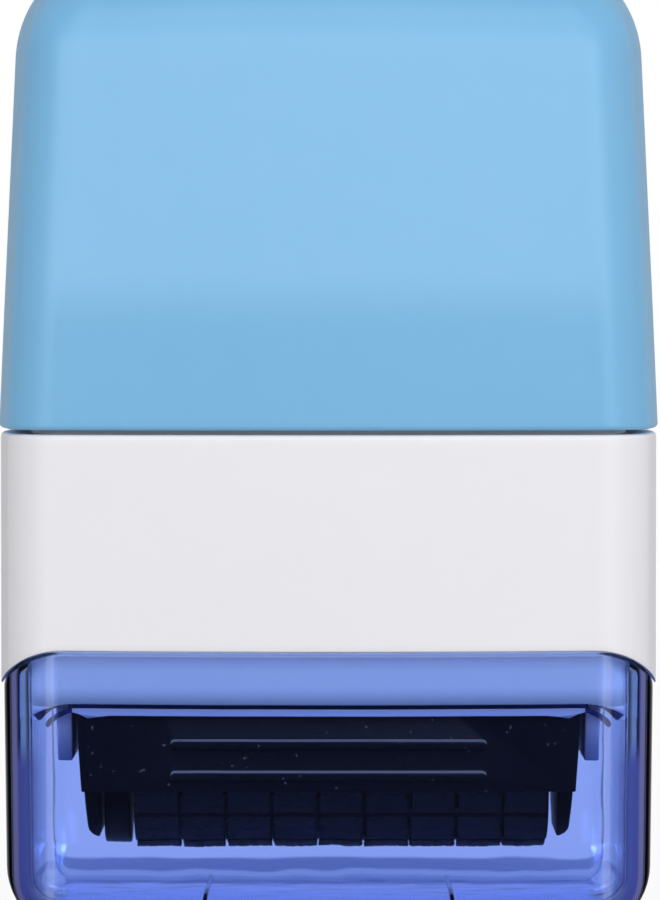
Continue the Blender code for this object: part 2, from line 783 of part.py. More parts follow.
def make_type_roller():
    """The printing roller: core, relief sleeve, end flanges and steel axle."""
    length = TYPE_RIGHT - SLEEVE_LEFT
    middle = (TYPE_RIGHT + SLEEVE_LEFT) / 2
    bore = circle(CORE_RADIUS + FIT_GAP, ROUND_STEPS)
    sleeve = plate(
        "type_sleeve",
        [relief_outline(), bore],
        length,
        ACROSS_WIDTH,
        Vector((middle, 0.0, TYPE_AXIS_HEIGHT)),
        PARTS,
    )
    pitch = length / RELIEF_COLUMNS
    for column in range(1, RELIEF_COLUMNS):
        place = SLEEVE_LEFT + column * pitch
        ring = collar(
            "relief_groove_" + str(column),
            TYPE_RADIUS + RELIEF_DEPTH,
            TYPE_RADIUS - COLUMN_GAP_DEPTH,
            place - COLUMN_GAP / 2,
            place + COLUMN_GAP / 2,
            TYPE_AXIS_HEIGHT,
            ROUND_STEPS,
            CUTTERS,
        )
        boolean(sleeve, ring, "DIFFERENCE")
    finish_part(sleeve, RUBBER, 0.6)

    bore = TYPE_AXLE_RADIUS + RUN_GAP
    flange_radius = TYPE_RADIUS - FLANGE_DROP
    left = collar(
        "type_flange_left",
        flange_radius,
        bore,
        TYPE_LEFT,
        TYPE_LEFT + FLANGE_WIDTH,
        TYPE_AXIS_HEIGHT,
        ROUND_STEPS,
    )
    finish_part(left, BLACK, 0.4)
    right = collar(
        "type_flange_right",
        CORE_RADIUS,
        bore,
        TYPE_RIGHT - RIGHT_FLANGE_WIDTH,
        TYPE_RIGHT,
        TYPE_AXIS_HEIGHT,
        ROUND_STEPS,
    )
    finish_part(right, BLACK, 0.4)
    core = collar(
        "type_core",
        CORE_RADIUS,
        bore,
        SLEEVE_LEFT,
        TYPE_RIGHT - RIGHT_FLANGE_WIDTH - FIT_GAP,
        TYPE_AXIS_HEIGHT,
        ROUND_STEPS,
    )
    finish_part(core, ACETAL, 0.5)
    axle = rod("type_axle", TYPE_AXLE_RADIUS, AXLE_HALF_LENGTH, TYPE_AXIS_HEIGHT)
    finish_part(axle, STEEL, 0.25, metallic=1.0)


def make_ink_roller():
    """The foam roller that wets the type: core, sleeve, end discs and axle."""
    inside = INK_HALF_LENGTH - INK_FLANGE_WIDTH - FIT_GAP
    bore = INK_AXLE_RADIUS + RUN_GAP
    sleeve = collar(
        "ink_sleeve",
        INK_RADIUS,
        INK_CORE_RADIUS + FIT_GAP,
        -inside,
        inside,
        INK_AXIS_HEIGHT,
        ROUND_STEPS,
    )
    finish_part(sleeve, FOAM, 0.95)
    core = collar(
        "ink_core", INK_CORE_RADIUS, bore, -inside, inside, INK_AXIS_HEIGHT, SMALL_STEPS
    )
    finish_part(core, ACETAL, 0.5)
    for side_name, side in (("left", -1), ("right", 1)):
        ends = sorted((side * INK_HALF_LENGTH, side * (INK_HALF_LENGTH - INK_FLANGE_WIDTH)))
        disc = collar(
            "ink_flange_" + side_name,
            INK_FLANGE_RADIUS,
            bore,
            ends[0],
            ends[1],
            INK_AXIS_HEIGHT,
            ROUND_STEPS,
        )
        finish_part(disc, BLACK, 0.4)
    axle = rod("ink_axle", INK_AXLE_RADIUS, AXLE_HALF_LENGTH, INK_AXIS_HEIGHT)
    finish_part(axle, STEEL, 0.25, metallic=1.0)


def main():
    """Build every sub-part of the stamp."""
    clear_scene()
    make_handle()
    make_housing()
    make_cap()
    make_cartridge()
    make_bearings()
    make_type_roller()
    make_ink_roller()


main()
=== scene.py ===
# %% [markdown]
# # A privacy roller stamp
# A privacy stamp rolls a band of small marks over an address. It has a light blue
# handle, a white refill unit with a black cartridge inside it, and a clear blue
# cap. The solids of every piece already exist, at real size and with their joints.
# This lesson gives them the looks of moulded plastic, rubber, foam and steel.

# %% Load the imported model
import json
import math

import bmesh
import bpy
import numpy as np
from mathutils import Matrix, Vector


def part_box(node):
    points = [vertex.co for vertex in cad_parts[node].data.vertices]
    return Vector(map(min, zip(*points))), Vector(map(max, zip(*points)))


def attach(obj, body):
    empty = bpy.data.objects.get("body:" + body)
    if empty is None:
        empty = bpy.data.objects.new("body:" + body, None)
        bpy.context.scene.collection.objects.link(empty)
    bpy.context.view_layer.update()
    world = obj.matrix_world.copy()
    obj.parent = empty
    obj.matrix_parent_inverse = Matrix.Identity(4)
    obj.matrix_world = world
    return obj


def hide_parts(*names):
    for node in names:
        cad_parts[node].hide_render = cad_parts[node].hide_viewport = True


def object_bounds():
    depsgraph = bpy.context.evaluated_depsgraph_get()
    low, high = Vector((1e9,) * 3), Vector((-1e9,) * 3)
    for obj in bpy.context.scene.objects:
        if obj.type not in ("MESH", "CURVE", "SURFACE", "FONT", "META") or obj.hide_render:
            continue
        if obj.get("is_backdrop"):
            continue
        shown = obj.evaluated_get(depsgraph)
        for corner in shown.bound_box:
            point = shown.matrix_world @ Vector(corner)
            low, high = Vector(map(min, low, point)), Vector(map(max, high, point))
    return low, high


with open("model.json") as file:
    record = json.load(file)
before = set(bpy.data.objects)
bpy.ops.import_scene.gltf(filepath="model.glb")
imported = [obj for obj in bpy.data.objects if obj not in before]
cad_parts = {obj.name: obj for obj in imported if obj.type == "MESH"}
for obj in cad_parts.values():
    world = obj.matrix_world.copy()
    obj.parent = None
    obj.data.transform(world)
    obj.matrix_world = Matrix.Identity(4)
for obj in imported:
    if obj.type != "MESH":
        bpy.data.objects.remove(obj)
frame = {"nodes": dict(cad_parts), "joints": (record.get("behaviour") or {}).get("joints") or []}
solid_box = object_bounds()

# %% [markdown]
# ## The camera
# The photo was taken from close in front with a long lens, a little below the
# handle's middle. A long lens keeps the sides nearly upright. The camera sits at a
# measured height and tips down by a degree and a half.

# %% Camera
CAMERA_DISTANCE = 0.350
CAMERA_HEIGHT = 0.0416
CAMERA_SIDE = 0.00010
CAMERA_TILT = math.radians(1.47)
CAMERA_LENS = 203.0
CAMERA_SENSOR = 36.0
CAMERA_NEAREST = 0.01


def add_object(name, data):
    """A new object at the origin, linked to the scene."""
    made = bpy.data.objects.new(name, data)
    bpy.context.scene.collection.objects.link(made)
    return made


lens = bpy.data.cameras.new("photo_camera")
lens.lens = CAMERA_LENS
lens.sensor_width = CAMERA_SENSOR
lens.clip_start = CAMERA_NEAREST
camera = add_object("photo_camera", lens)
camera.location = (CAMERA_SIDE, -CAMERA_DISTANCE, CAMERA_HEIGHT)
camera.rotation_euler = (math.radians(90) - CAMERA_TILT, 0.0, 0.0)
bpy.context.scene.camera = camera
bpy.context.scene.view_settings.view_transform = "Standard"
print("camera", round(CAMERA_DISTANCE * 1000), "mm in front")

# %% [markdown]
# ## Building node trees
# Every finish is a small tree of nodes. A few helpers keep the trees short: they add
# a node with its inputs set or linked, multiply values, split a vector, step softly
# between two levels, and mix two values, two colours or two surfaces.

# %% Helpers for nodes
WHITE = (1.0, 1.0, 1.0, 1.0)
# Bounces are counted in whole numbers, and this tells none from one.
HALF_BOUNCE = 0.5


def set_inputs(tree, node, values):
    """Set or link a node's inputs, by their name or their place in its list."""
    for key, value in values.items():
        socket = node.inputs[key]
        if isinstance(value, bpy.types.NodeSocket):
            tree.links.new(value, socket)
        else:
            socket.default_value = value
    return node


def add_node(tree, kind, **inputs):
    """Add a node, and set or link its inputs by name."""
    named = {name.replace("_", " "): value for name, value in inputs.items()}
    return set_inputs(tree, tree.nodes.new(kind), named)


def maths(tree, operation, first, second=0.0):
    """One sum, product or comparison, as a socket."""
    node = tree.nodes.new("ShaderNodeMath")
    node.operation = operation
    return set_inputs(tree, node, {0: first, 1: second}).outputs[0]


def product(tree, first, *others):
    """Values multiplied together."""
    for other in others:
        first = maths(tree, "MULTIPLY", first, other)
    return first


def axes(tree, vector):
    """The X, Y and Z of a vector, as sockets."""
    return add_node(tree, "ShaderNodeSeparateXYZ", Vector=vector).outputs


def between(tree, share, low, high):
    """A value that runs from low to high as share runs from 0 to 1."""
    node = tree.nodes.new("ShaderNodeMapRange")
    return set_inputs(tree, node, {0: share, 3: low, 4: high}).outputs[0]


def smooth_step(tree, value, start, end, low=0.0, high=1.0):
    """A soft step from low to high while value goes from start to end."""
    node = tree.nodes.new("ShaderNodeMapRange")
    node.interpolation_type = "SMOOTHSTEP"
    return set_inputs(tree, node, {0: value, 1: start, 2: end, 3: low, 4: high}).outputs[0]


def choose(tree, share, first, second):
    """The first value where share is 0 and the second where it is 1."""
    node = tree.nodes.new("ShaderNodeMix")
    return set_inputs(tree, node, {0: share, 2: first, 3: second}).outputs[0]


def blend_colours(tree, share, first, second):
    """A colour between two others, each a socket or a plain colour."""
    node = tree.nodes.new("ShaderNodeMix")
    node.data_type = "RGBA"
    for place, colour in ((6, first), (7, second)):
        if not isinstance(colour, bpy.types.NodeSocket):
            colour = (*colour, 1.0)
        set_inputs(tree, node, {place: colour})
    return set_inputs(tree, node, {0: share}).outputs[2]


def blend_surfaces(tree, share, first, second):
    """A surface between two others."""
    node = tree.nodes.new("ShaderNodeMixShader")
    return set_inputs(tree, node, {0: share, 1: first, 2: second}).outputs[0]


print("node helpers ready")

# %% [markdown]
# ## Studio light
# A photographer shapes the light with panels, screens and strips that stand outside
# the picture. Here the surroundings do it: the Light Path node tells what kind of ray
# asks, and each kind is shown its own studio. The camera sees plain white. Matt
# surfaces get soft light, most of it from low down, and a little more from the right.

# %% Soft light for matt surfaces
SOFT_LOW_LEVEL = 1.28
SOFT_ABOVE_LEVEL = 0.22
SOFT_RISE_SPAN = (0.10, 0.50)
SOFT_LEFT_LEVEL = 0.25
SOFT_RIGHT_LEVEL = 0.85
SOFT_SIDE_SPAN = (0.30, 0.95)

world = bpy.data.worlds.new("pale_studio")
world.use_nodes = True
bpy.context.scene.world = world
tree = world.node_tree
tree.nodes.clear()
path = add_node(tree, "ShaderNodeLightPath").outputs
toward = axes(tree, add_node(tree, "ShaderNodeTexCoord").outputs["Generated"])
soft = smooth_step(tree, toward["Z"], *SOFT_RISE_SPAN, SOFT_LOW_LEVEL, SOFT_ABOVE_LEVEL)
for side, side_level in ((1, SOFT_RIGHT_LEVEL), (-1, SOFT_LEFT_LEVEL)):
    outward = product(tree, toward["X"], side)
    beside = smooth_step(tree, outward, *SOFT_SIDE_SPAN, 0.0, side_level)
    soft = maths(tree, "ADD", soft, beside)
print("soft light:", SOFT_LOW_LEVEL, "low down and", SOFT_ABOVE_LEVEL, "above")

# %% [markdown]
# Glossy surfaces mirror a dark screen in front and a grey wall behind. A pale panel
# hangs high in front, and a bright narrow strip stands on each side of it, which
# draws the light lines down the cap's corners. Far out to the sides it is dark.

# %% What glossy surfaces mirror
SCREEN_LEVEL = 0.03
BACK_LEVEL = 0.45
SCREEN_SPAN = (-0.35, 0.05)
FRONT_SPAN = (-0.50, -0.30)
PANEL_LEVEL = 0.75
PANEL_FOOT_SPAN = (0.12, 0.28)
PANEL_TOP_SPAN = (0.93, 0.99)
SIDE_LEVEL = 0.08
SIDE_SPAN = (0.60, 0.90)
STRIP_LEVEL = 2.1
STRIP_TURN = 0.66
STRIP_SPAN = (0.07, 0.14)

screen = smooth_step(tree, toward["Y"], *SCREEN_SPAN, SCREEN_LEVEL, BACK_LEVEL)
in_front = smooth_step(tree, toward["Y"], *FRONT_SPAN, 1.0, 0.0)
panel = smooth_step(tree, toward["Z"], *PANEL_FOOT_SPAN, 0.0, PANEL_LEVEL)
panel_top = smooth_step(tree, toward["Z"], *PANEL_TOP_SPAN, 1.0, 0.0)
screen = maths(tree, "MAXIMUM", screen, product(tree, panel, panel_top, in_front))
aside = maths(tree, "ABSOLUTE", toward["X"])
dark_sides = smooth_step(tree, aside, *SIDE_SPAN, 1.0, SIDE_LEVEL)
screen = maths(tree, "MINIMUM", screen, dark_sides)
off_strip = maths(tree, "ABSOLUTE", maths(tree, "SUBTRACT", aside, STRIP_TURN))
strip = smooth_step(tree, off_strip, *STRIP_SPAN, STRIP_LEVEL, 0.0)
screen = maths(tree, "MAXIMUM", screen, product(tree, strip, in_front))
print("mirrored: panel", PANEL_LEVEL, "and strips", STRIP_LEVEL)

# %% [markdown]
# Light that passes straight through the cap comes from white surroundings. Light
# that bounced inside it comes from elsewhere: from the pale room behind if the ray
# rises, and from the dark screen if it falls. A very bright card low at each side
# leaves the two small glints in the cap's rear corners.

# %% What shows through clear plastic
THROUGH_LEVEL = 1.13
RISING_SPAN = (-0.03, 0.03)
CARD_LEVEL = 80.0
CARD_SIDE_SPAN = (0.88, 0.95)
CARD_FOOT_SPAN = (-0.04, 0.02)
CARD_TOP_SPAN = (0.18, 0.25)

room = smooth_step(tree, toward["Y"], *SCREEN_SPAN, SCREEN_LEVEL, THROUGH_LEVEL)
rising = smooth_step(tree, toward["Z"], *RISING_SPAN)
behind = choose(tree, rising, screen, room)
card = smooth_step(tree, aside, *CARD_SIDE_SPAN, 0.0, CARD_LEVEL)
card_foot = smooth_step(tree, toward["Z"], *CARD_FOOT_SPAN)
card_top = smooth_step(tree, toward["Z"], *CARD_TOP_SPAN, 1.0, 0.0)
behind = maths(tree, "MAXIMUM", behind, product(tree, card, card_foot, card_top))
bounced = maths(tree, "GREATER_THAN", path["Glossy Depth"], HALF_BOUNCE)
behind = choose(tree, bounced, THROUGH_LEVEL, behind)

direct = maths(tree, "LESS_THAN", path["Diffuse Depth"], HALF_BOUNCE)
level = choose(tree, product(tree, path["Is Glossy Ray"], direct), soft, screen)
level = choose(tree, product(tree, path["Is Transmission Ray"], direct), level, behind)
level = choose(tree, path["Is Camera Ray"], level, 1.0)
sky = add_node(tree, "ShaderNodeBackground", Color=WHITE, Strength=level)
add_node(tree, "ShaderNodeOutputWorld", Surface=sky.outputs[0])
print("surroundings:", len(tree.nodes), "nodes")

# %% [markdown]
# One broad softbox stands above and in front, so the handle's leaning wall mirrors
# it and its upright foot doesn't: that is the soft change of tone across the grip.
# A slim strip higher up lights the crown.

# %% Softboxes
SOFTBOX_DISTANCE = 1.0


def add_softbox(name, rise, width, tall, radiance):
    """A rectangular lamp in front, a rise in degrees above the stamp's middle."""
    lamp = bpy.data.lights.new(name, "AREA")
    lamp.shape = "RECTANGLE"
    lamp.size = width
    lamp.size_y = tall
    lamp.energy = radiance * math.pi * width * tall
    box = add_object(name, lamp)
    rise = math.radians(rise)
    away = Vector((0.0, -math.cos(rise), math.sin(rise)))
    box.location = Vector((0.0, 0.0, solid_box[1][2] / 2)) + away * SOFTBOX_DISTANCE
    box.rotation_euler = away.to_track_quat("Z", "Y").to_euler()
    print(name, "at", [round(value, 2) for value in box.location])


add_softbox("front_softbox", rise=27, width=1.70, tall=0.52, radiance=2.2)
add_softbox("top_strip", rise=60, width=0.90, tall=0.10, radiance=3.5)

# %% [markdown]
# ## The floor
# A round pale floor catches the stamp's shadow. To the camera it glows nearly white,
# and with distance it turns as white as the surroundings, so no horizon shows. Seen
# through the cap, it is bright under the stamp and behind it, with a band of blue
# shade between. Rays that were mirrored before pass through it.

# %% Floor
FLOOR_RADIUS = 3.0
FLOOR_SIDES = 96
FLOOR_DROP = 0.0001
FLOOR_COLOUR = (0.70, 0.70, 0.705, 1.0)
FLOOR_GLOW_SHARE = 0.86
FLOOR_GLOW_LEVEL = 1.05
AWAY_SPAN = (0.10, 0.50)
SHADE_GLOW_SHARE = 0.34
SHADE_TINT = (0.34, 0.48, 1.0)
UNDER_GLOW_SHARE = 0.62
UNDER_SPAN = (0.0018, 0.0045)
FADE_SPAN = (0.0112, 0.0145)


def keep_shape(name, shape):
    """A new object made from a bmesh, which is then freed."""
    mesh = bpy.data.meshes.new(name)
    shape.to_mesh(mesh)
    shape.free()
    return add_object(name, mesh)


shape = bmesh.new()
bmesh.ops.create_circle(shape, cap_ends=True, radius=FLOOR_RADIUS, segments=FLOOR_SIDES)
bmesh.ops.translate(shape, verts=shape.verts, vec=(0.0, 0.0, -FLOOR_DROP))
studio_floor = keep_shape("studio_floor", shape)
studio_floor.visible_glossy = False
studio_floor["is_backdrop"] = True

paper = bpy.data.materials.new("white_paper")
paper.use_nodes = True
tree = paper.node_tree
tree.nodes.clear()
path = add_node(tree, "ShaderNodeLightPath").outputs
place = axes(tree, add_node(tree, "ShaderNodeTexCoord").outputs["Object"])
past = [
    maths(tree, "SUBTRACT", maths(tree, "ABSOLUTE", place[axis]), half)
    for axis, half in (("X", solid_box[1][0]), ("Y", solid_box[1][1]))
]
reach = maths(tree, "MAXIMUM", *past)
fade = smooth_step(tree, reach, *FADE_SPAN, SHADE_GLOW_SHARE, 1.0)
beneath = smooth_step(tree, reach, *UNDER_SPAN, 1.0, 0.0)
lit = maths(tree, "MAXIMUM", product(tree, beneath, UNDER_GLOW_SHARE), fade)
seen = product(tree, path["Is Transmission Ray"], lit)
shown = maths(tree, "MAXIMUM", path["Is Camera Ray"], seen)
for depth in ("Diffuse Depth", "Glossy Depth"):
    shown = product(tree, shown, maths(tree, "LESS_THAN", path[depth], HALF_BOUNCE))
away = smooth_step(tree, reach, *AWAY_SPAN)
share = product(tree, shown, between(tree, away, FLOOR_GLOW_SHARE, 1.0))
near_level = between(tree, away, FLOOR_GLOW_LEVEL, 1.0)
glow_level = between(tree, path["Is Camera Ray"], THROUGH_LEVEL, near_level)
unshaded = maths(tree, "MAXIMUM", path["Is Camera Ray"], fade)
unshaded = maths(tree, "MAXIMUM", unshaded, beneath)
tint = blend_colours(tree, unshaded, SHADE_TINT, WHITE[:3])
matt = add_node(tree, "ShaderNodeBsdfDiffuse", Color=FLOOR_COLOUR).outputs[0]
glow = add_node(tree, "ShaderNodeEmission", Color=tint, Strength=glow_level).outputs[0]
unseen = add_node(tree, "ShaderNodeBsdfTransparent", Color=WHITE).outputs[0]
mirrored = maths(tree, "GREATER_THAN", path["Glossy Depth"], HALF_BOUNCE)
floor_look = blend_surfaces(tree, share, matt, glow)
floor_look = blend_surfaces(tree, mirrored, floor_look, unseen)
add_node(tree, "ShaderNodeOutputMaterial", Surface=floor_look)
studio_floor.data.materials.append(paper)
print("floor:", FLOOR_RADIUS, "m round")

# %% [markdown]
# ## Moulded plastic
# Injection moulded plastic is never one flat colour. It has a fine grain from the
# mould, slow changes of tone where the wall cooled, and small differences of gloss.
# All three read the place in the object, so they stay put when a piece moves.

# %% Finish: moulded plastic
PLASTIC_IOR = 1.49
TONE_SIZE = 0.012
GLOSS_SIZE = 0.0025
GLOSS_SWING = 0.05
GRAIN_SIZE = 0.00016


def surface_tree(name):
    """A new material, with its tree, its main shader and the place in the object."""
    material = bpy.data.materials.new(name)
    material.use_nodes = True
    tree = material.node_tree
    shader = tree.nodes["Principled BSDF"]
    place = add_node(tree, "ShaderNodeTexCoord").outputs["Object"]
    return material, tree, shader, place


def noise(tree, place, size, detail=2.0):
    """Smooth random values whose patches are about size across."""
    node = add_node(tree, "ShaderNodeTexNoise", Vector=place, Scale=1.0 / size, Detail=detail)
    return node.outputs["Fac"]


def bump(tree, height, depth):
    """A surface normal tilted by a height pattern that is depth deep."""
    node = add_node(tree, "ShaderNodeBump", Height=height, Distance=depth, Strength=1.0)
    return node.outputs["Normal"]


def moulded_plastic(name, colour, warm, rough, grain_depth):
    """Plastic with a fine mould grain, slow tone changes and uneven gloss."""
    material, tree, shader, place = surface_tree(name)
    colour = blend_colours(tree, noise(tree, place, TONE_SIZE), colour, warm)
    gloss = noise(tree, place, GLOSS_SIZE, detail=3.0)
    gloss = between(tree, gloss, rough - GLOSS_SWING, rough + GLOSS_SWING)
    grain = bump(tree, noise(tree, place, GRAIN_SIZE, detail=1.0), grain_depth)
    set_inputs(
        tree,
        shader,
        {"Base Color": colour, "Roughness": gloss, "Normal": grain, "IOR": PLASTIC_IOR},
    )
    return material


handle_blue = moulded_plastic(
    "handle_blue",
    (0.163, 0.422, 0.678),
    (0.174, 0.431, 0.684),
    rough=0.34,
    grain_depth=0.0000025,
)
housing_white = moulded_plastic(
    "housing_white",
    (0.765, 0.757, 0.793),
    (0.751, 0.745, 0.778),
    rough=0.36,
    grain_depth=0.0000025,
)
cartridge_black = moulded_plastic(
    "cartridge_black",
    (0.0065, 0.0055, 0.0100),
    (0.0095, 0.0080, 0.0140),
    rough=0.33,
    grain_depth=0.000004,
)
bearing_plastic = moulded_plastic(
    "bearing_plastic",
    (0.700, 0.690, 0.650),
    (0.740, 0.730, 0.700),
    rough=0.45,
    grain_depth=0.000003,
)
print("finishes:", handle_blue.name, housing_white.name, cartridge_black.name)

# %% [markdown]
# The upper edges of the black cartridge's grip ribs get a pale painted highlight:
# such an edge faces up and stands further out than the wall. A few grains of
# dust are the highest peaks of a fine noise.

# %% Painted rib highlights and dust on the cartridge
SATIN_SPECULAR = 0.12
RIB_HIGHLIGHT_DEPTH = 0.0105
RIB_HIGHLIGHT_FACING_SPAN = (0.10, 0.35)
RIB_HIGHLIGHT_COLOUR = (0.30, 0.26, 0.23)
DUST_SIZE = 0.00040
DUST_SPAN = (0.735, 0.775)
DUST_COLOUR = (0.13, 0.12, 0.12)


def paint_rib_highlights_and_dust(material):
    """Paint a highlight on the upper edges of the grip ribs, and scatter some dust."""
    tree = material.node_tree
    shader = tree.nodes["Principled BSDF"]
    plain = shader.inputs["Base Color"].links[0].from_socket
    where = add_node(tree, "ShaderNodeTexCoord").outputs
    up = axes(tree, where["Normal"])["Z"]
    depth = maths(tree, "ABSOLUTE", axes(tree, where["Object"])["Y"])
    # Painted highlight: a paler colour on the up-facing faces of the proud ribs.
    proud = maths(tree, "GREATER_THAN", depth, RIB_HIGHLIGHT_DEPTH)
    highlighted = product(tree, smooth_step(tree, up, *RIB_HIGHLIGHT_FACING_SPAN), proud)
    colour = blend_colours(tree, highlighted, plain, RIB_HIGHLIGHT_COLOUR)
    grains = noise(tree, where["Object"], DUST_SIZE, detail=1.0)
    dust = smooth_step(tree, grains, *DUST_SPAN)
    colour = blend_colours(tree, dust, colour, DUST_COLOUR)
    set_inputs(tree, shader, {"Base Color": colour, "Specular IOR Level": SATIN_SPECULAR})


paint_rib_highlights_and_dust(cartridge_black)
# The painted rib highlight starts this far out from the middle.
print("ribs rubbed past", round(RIB_HIGHLIGHT_DEPTH * 1000, 1), "mm from the middle")

# %% [markdown]
# The housing's guide fins, which stand right beside the rollers, get painted shade,
# and a lighter painted shade runs a little way up the neck. It is a colour by height,
# and it deepens toward the fins' ends.

# %% Painted shade on the housing's fins and neck
FIN_SHADE_SPAN = (0.0118, 0.0156)
FIN_SHADE_START_COLOUR = (0.590, 0.590, 0.800)
FIN_SHADE_END_COLOUR = (0.170, 0.200, 0.430)
NECK_SHADE_SPAN = (0.0159, 0.0173)
NECK_SHADE_END = 0.0158
NECK_SHADE_COLOUR = (0.340, 0.350, 0.410)


def add_painted_shade(material):
    """Paint shade on the neck's lower edge a little, and on what lies under its lip more."""
    tree = material.node_tree
    shader = tree.nodes["Principled BSDF"]
    plain = shader.inputs["Base Color"].links[0].from_socket
    height = axes(tree, add_node(tree, "ShaderNodeTexCoord").outputs["Object"])["Z"]
    # Painted shade: the neck's lowest part darkens downward.
    neck_shade = smooth_step(tree, height, *NECK_SHADE_SPAN, 1.0, 0.0)
    neck_shade = product(tree, neck_shade, maths(tree, "GREATER_THAN", height, NECK_SHADE_END))
    plain = blend_colours(tree, neck_shade, plain, NECK_SHADE_COLOUR)
    # Painted shade: below the lip the colour darkens toward the fins' ends.
    depth = smooth_step(tree, height, *FIN_SHADE_SPAN, 1.0, 0.0)
    fin_shade = blend_colours(tree, depth, FIN_SHADE_START_COLOUR, FIN_SHADE_END_COLOUR)
    below = maths(tree, "LESS_THAN", height, FIN_SHADE_SPAN[1])
    set_inputs(tree, shader, {"Base Color": blend_colours(tree, below, plain, fin_shade)})


add_painted_shade(housing_white)
# A dark painted shade for the groove under the neck and for the lip's outer ends.
painted_groove_shade = moulded_plastic(
    "painted_groove_shade",
    (0.003, 0.012, 0.125),
    (0.004, 0.014, 0.145),
    rough=0.60,
    grain_depth=0.000004,
)
# The fins' painted shade starts below this height.
print("ink mist below", round(FIN_SHADE_SPAN[1] * 1000, 1), "mm")

# %% [markdown]
# ## Clear blue plastic
# The cap is tinted all through, so its colour comes from how far light travels
# inside the wall: one wall is light blue, and an edge or a corner seen along the
# wall is navy. An absorbing volume does exactly that, inside a clear surface.
#
# A real cap also traps light in its thick corners and in its rim's falling ends, so
# these look navy, slate or black from the side. A dark layer stands in for that. It
# shows where a corner is seen aslant, which Layer Weight measures.

# %% The dark layer in the cap's corners
CORNER_SPAN = (0.05, 0.16)
RIM_SPAN = (0.06, 0.20)
RIM_SHADE_SHARE = 0.9
LOW_SPAN = (0.0115, 0.0142)
EDGE_SPAN = (0.50, 0.62)
LAYER_SPAN = (0.06, 0.42)
SLATE_SPAN = (0.52, 0.62)
BLACK_SPAN = (0.76, 0.90)
LAYER_NAVY = (0.048, 0.068, 0.300)
LAYER_SLATE = (0.120, 0.128, 0.320)
LAYER_BLACK = (0.001, 0.001, 0.004)


def corner_layer(tree, place, path):
    """How much of the dark layer shows, and its colour."""
    aslant = add_node(tree, "ShaderNodeLayerWeight").outputs["Facing"]
    facing = axes(tree, add_node(tree, "ShaderNodeTexCoord").outputs["Normal"])
    across = maths(tree, "ABSOLUTE", facing["X"])
    corner = maths(tree, "ABSOLUTE", product(tree, across, facing["Y"]))
    corner = smooth_step(tree, corner, *CORNER_SPAN)
    rim = product(tree, across, facing["Z"])
    rim = smooth_step(tree, rim, *RIM_SPAN, 0.0, RIM_SHADE_SHARE)
    low = smooth_step(tree, axes(tree, place)["Z"], *LOW_SPAN, 1.0, 0.0)
    edge = smooth_step(tree, aslant, *EDGE_SPAN)
    share = smooth_step(tree, aslant, *LAYER_SPAN)
    share = product(tree, share, corner, maths(tree, "MAXIMUM", low, edge))
    share = maths(tree, "MAXIMUM", share, rim)
    first = maths(tree, "LESS_THAN", path["Transmission Depth"], HALF_BOUNCE)
    slate = smooth_step(tree, aslant, *SLATE_SPAN)
    black = maths(tree, "MAXIMUM", smooth_step(tree, aslant, *BLACK_SPAN), rim)
    colour = blend_colours(tree, slate, LAYER_NAVY, LAYER_SLATE)
    colour = blend_colours(tree, black, colour, LAYER_BLACK)
    return product(tree, share, first), colour


print("dark layer in corners and falling rims")

# %% Finish: clear blue plastic
WALL_LETS_THROUGH_SHARES = (0.65, 0.785, 0.997)
SURFACE_TINT = (0.79, 0.79, 0.995, 1.0)
ABSORPTION_DENSITY = 900.0
CAP_WALL = 0.0012
SMEAR_SIZE = 0.006
SMEAR_ROUGH_SPAN = (0.015, 0.06)
FLOW_SIZE = 0.004
FLOW_DEPTH = 0.00005


def clear_blue_plastic():
    """A clear surface round a volume that takes red and green out of the light."""
    material, tree, shader, place = surface_tree("cap_blue")
    smear = noise(tree, place, SMEAR_SIZE, detail=3.0)
    flow = noise(tree, place, FLOW_SIZE, detail=1.0)
    set_inputs(
        tree,
        shader,
        {
            "Base Color": SURFACE_TINT,
            "Transmission Weight": 1.0,
            "IOR": PLASTIC_IOR,
            "Roughness": between(tree, smear, *SMEAR_ROUGH_SPAN),
            "Normal": bump(tree, flow, FLOW_DEPTH),
        },
    )
    lost = [-math.log(share) / CAP_WALL for share in WALL_LETS_THROUGH_SHARES]
    tint = [1.0 - loss / ABSORPTION_DENSITY for loss in lost]
    inside = add_node(tree, "ShaderNodeVolumeAbsorption", Color=(*tint, 1.0))
    inside.inputs["Density"].default_value = ABSORPTION_DENSITY
    path = add_node(tree, "ShaderNodeLightPath").outputs
    share, colour = corner_layer(tree, place, path)
    layer = add_node(tree, "ShaderNodeBsdfDiffuse", Color=colour).outputs[0]
    surface = blend_surfaces(tree, share, shader.outputs[0], layer)
    clear = add_node(tree, "ShaderNodeBsdfTransparent", Color=WHITE).outputs[0]
    for kind in ("Is Shadow Ray", "Is Diffuse Ray"):
        surface = blend_surfaces(tree, path[kind], surface, clear)
    end = next(node for node in tree.nodes if node.type == "OUTPUT_MATERIAL")
    set_inputs(tree, end, {"Surface": surface, "Volume": inside.outputs[0]})
    return material


cap_blue = clear_blue_plastic()
print("clear plastic: one wall lets through", WALL_LETS_THROUGH_SHARES)

# %% [markdown]
# ## Rubber, foam and steel
# The relief is matt rubber, damp with ink in patches. The ink roller is open foam:
# a cell pattern, dark in its holes. Axles and springs are drawn steel, with fine
# lines along the wire.

# %% Finishes: rubber, foam and steel
RUBBER_COLOURS = ((0.012, 0.011, 0.018), (0.020, 0.018, 0.028))
RUBBER_ROUGH_SPAN = (0.45, 0.70)
RUBBER_SPECULAR = 0.25
RUBBER_GRAIN_SIZE = 0.0002
RUBBER_GRAIN_DEPTH = 0.00001
DAMP_SIZE = 0.0018
FOAM_COLOURS = ((0.010, 0.009, 0.014), (0.060, 0.055, 0.075))
FOAM_ROUGH = 0.92
FOAM_CELL = 0.0005
FOAM_DEPTH = 0.0002
STEEL_COLOURS = ((0.50, 0.51, 0.52), (0.62, 0.63, 0.64))
STEEL_ROUGH_SPAN = (0.20, 0.36)
WIRE_LINE_SIZE = 0.00012
WIRE_STRETCH = (0.04, 1.0, 1.0)


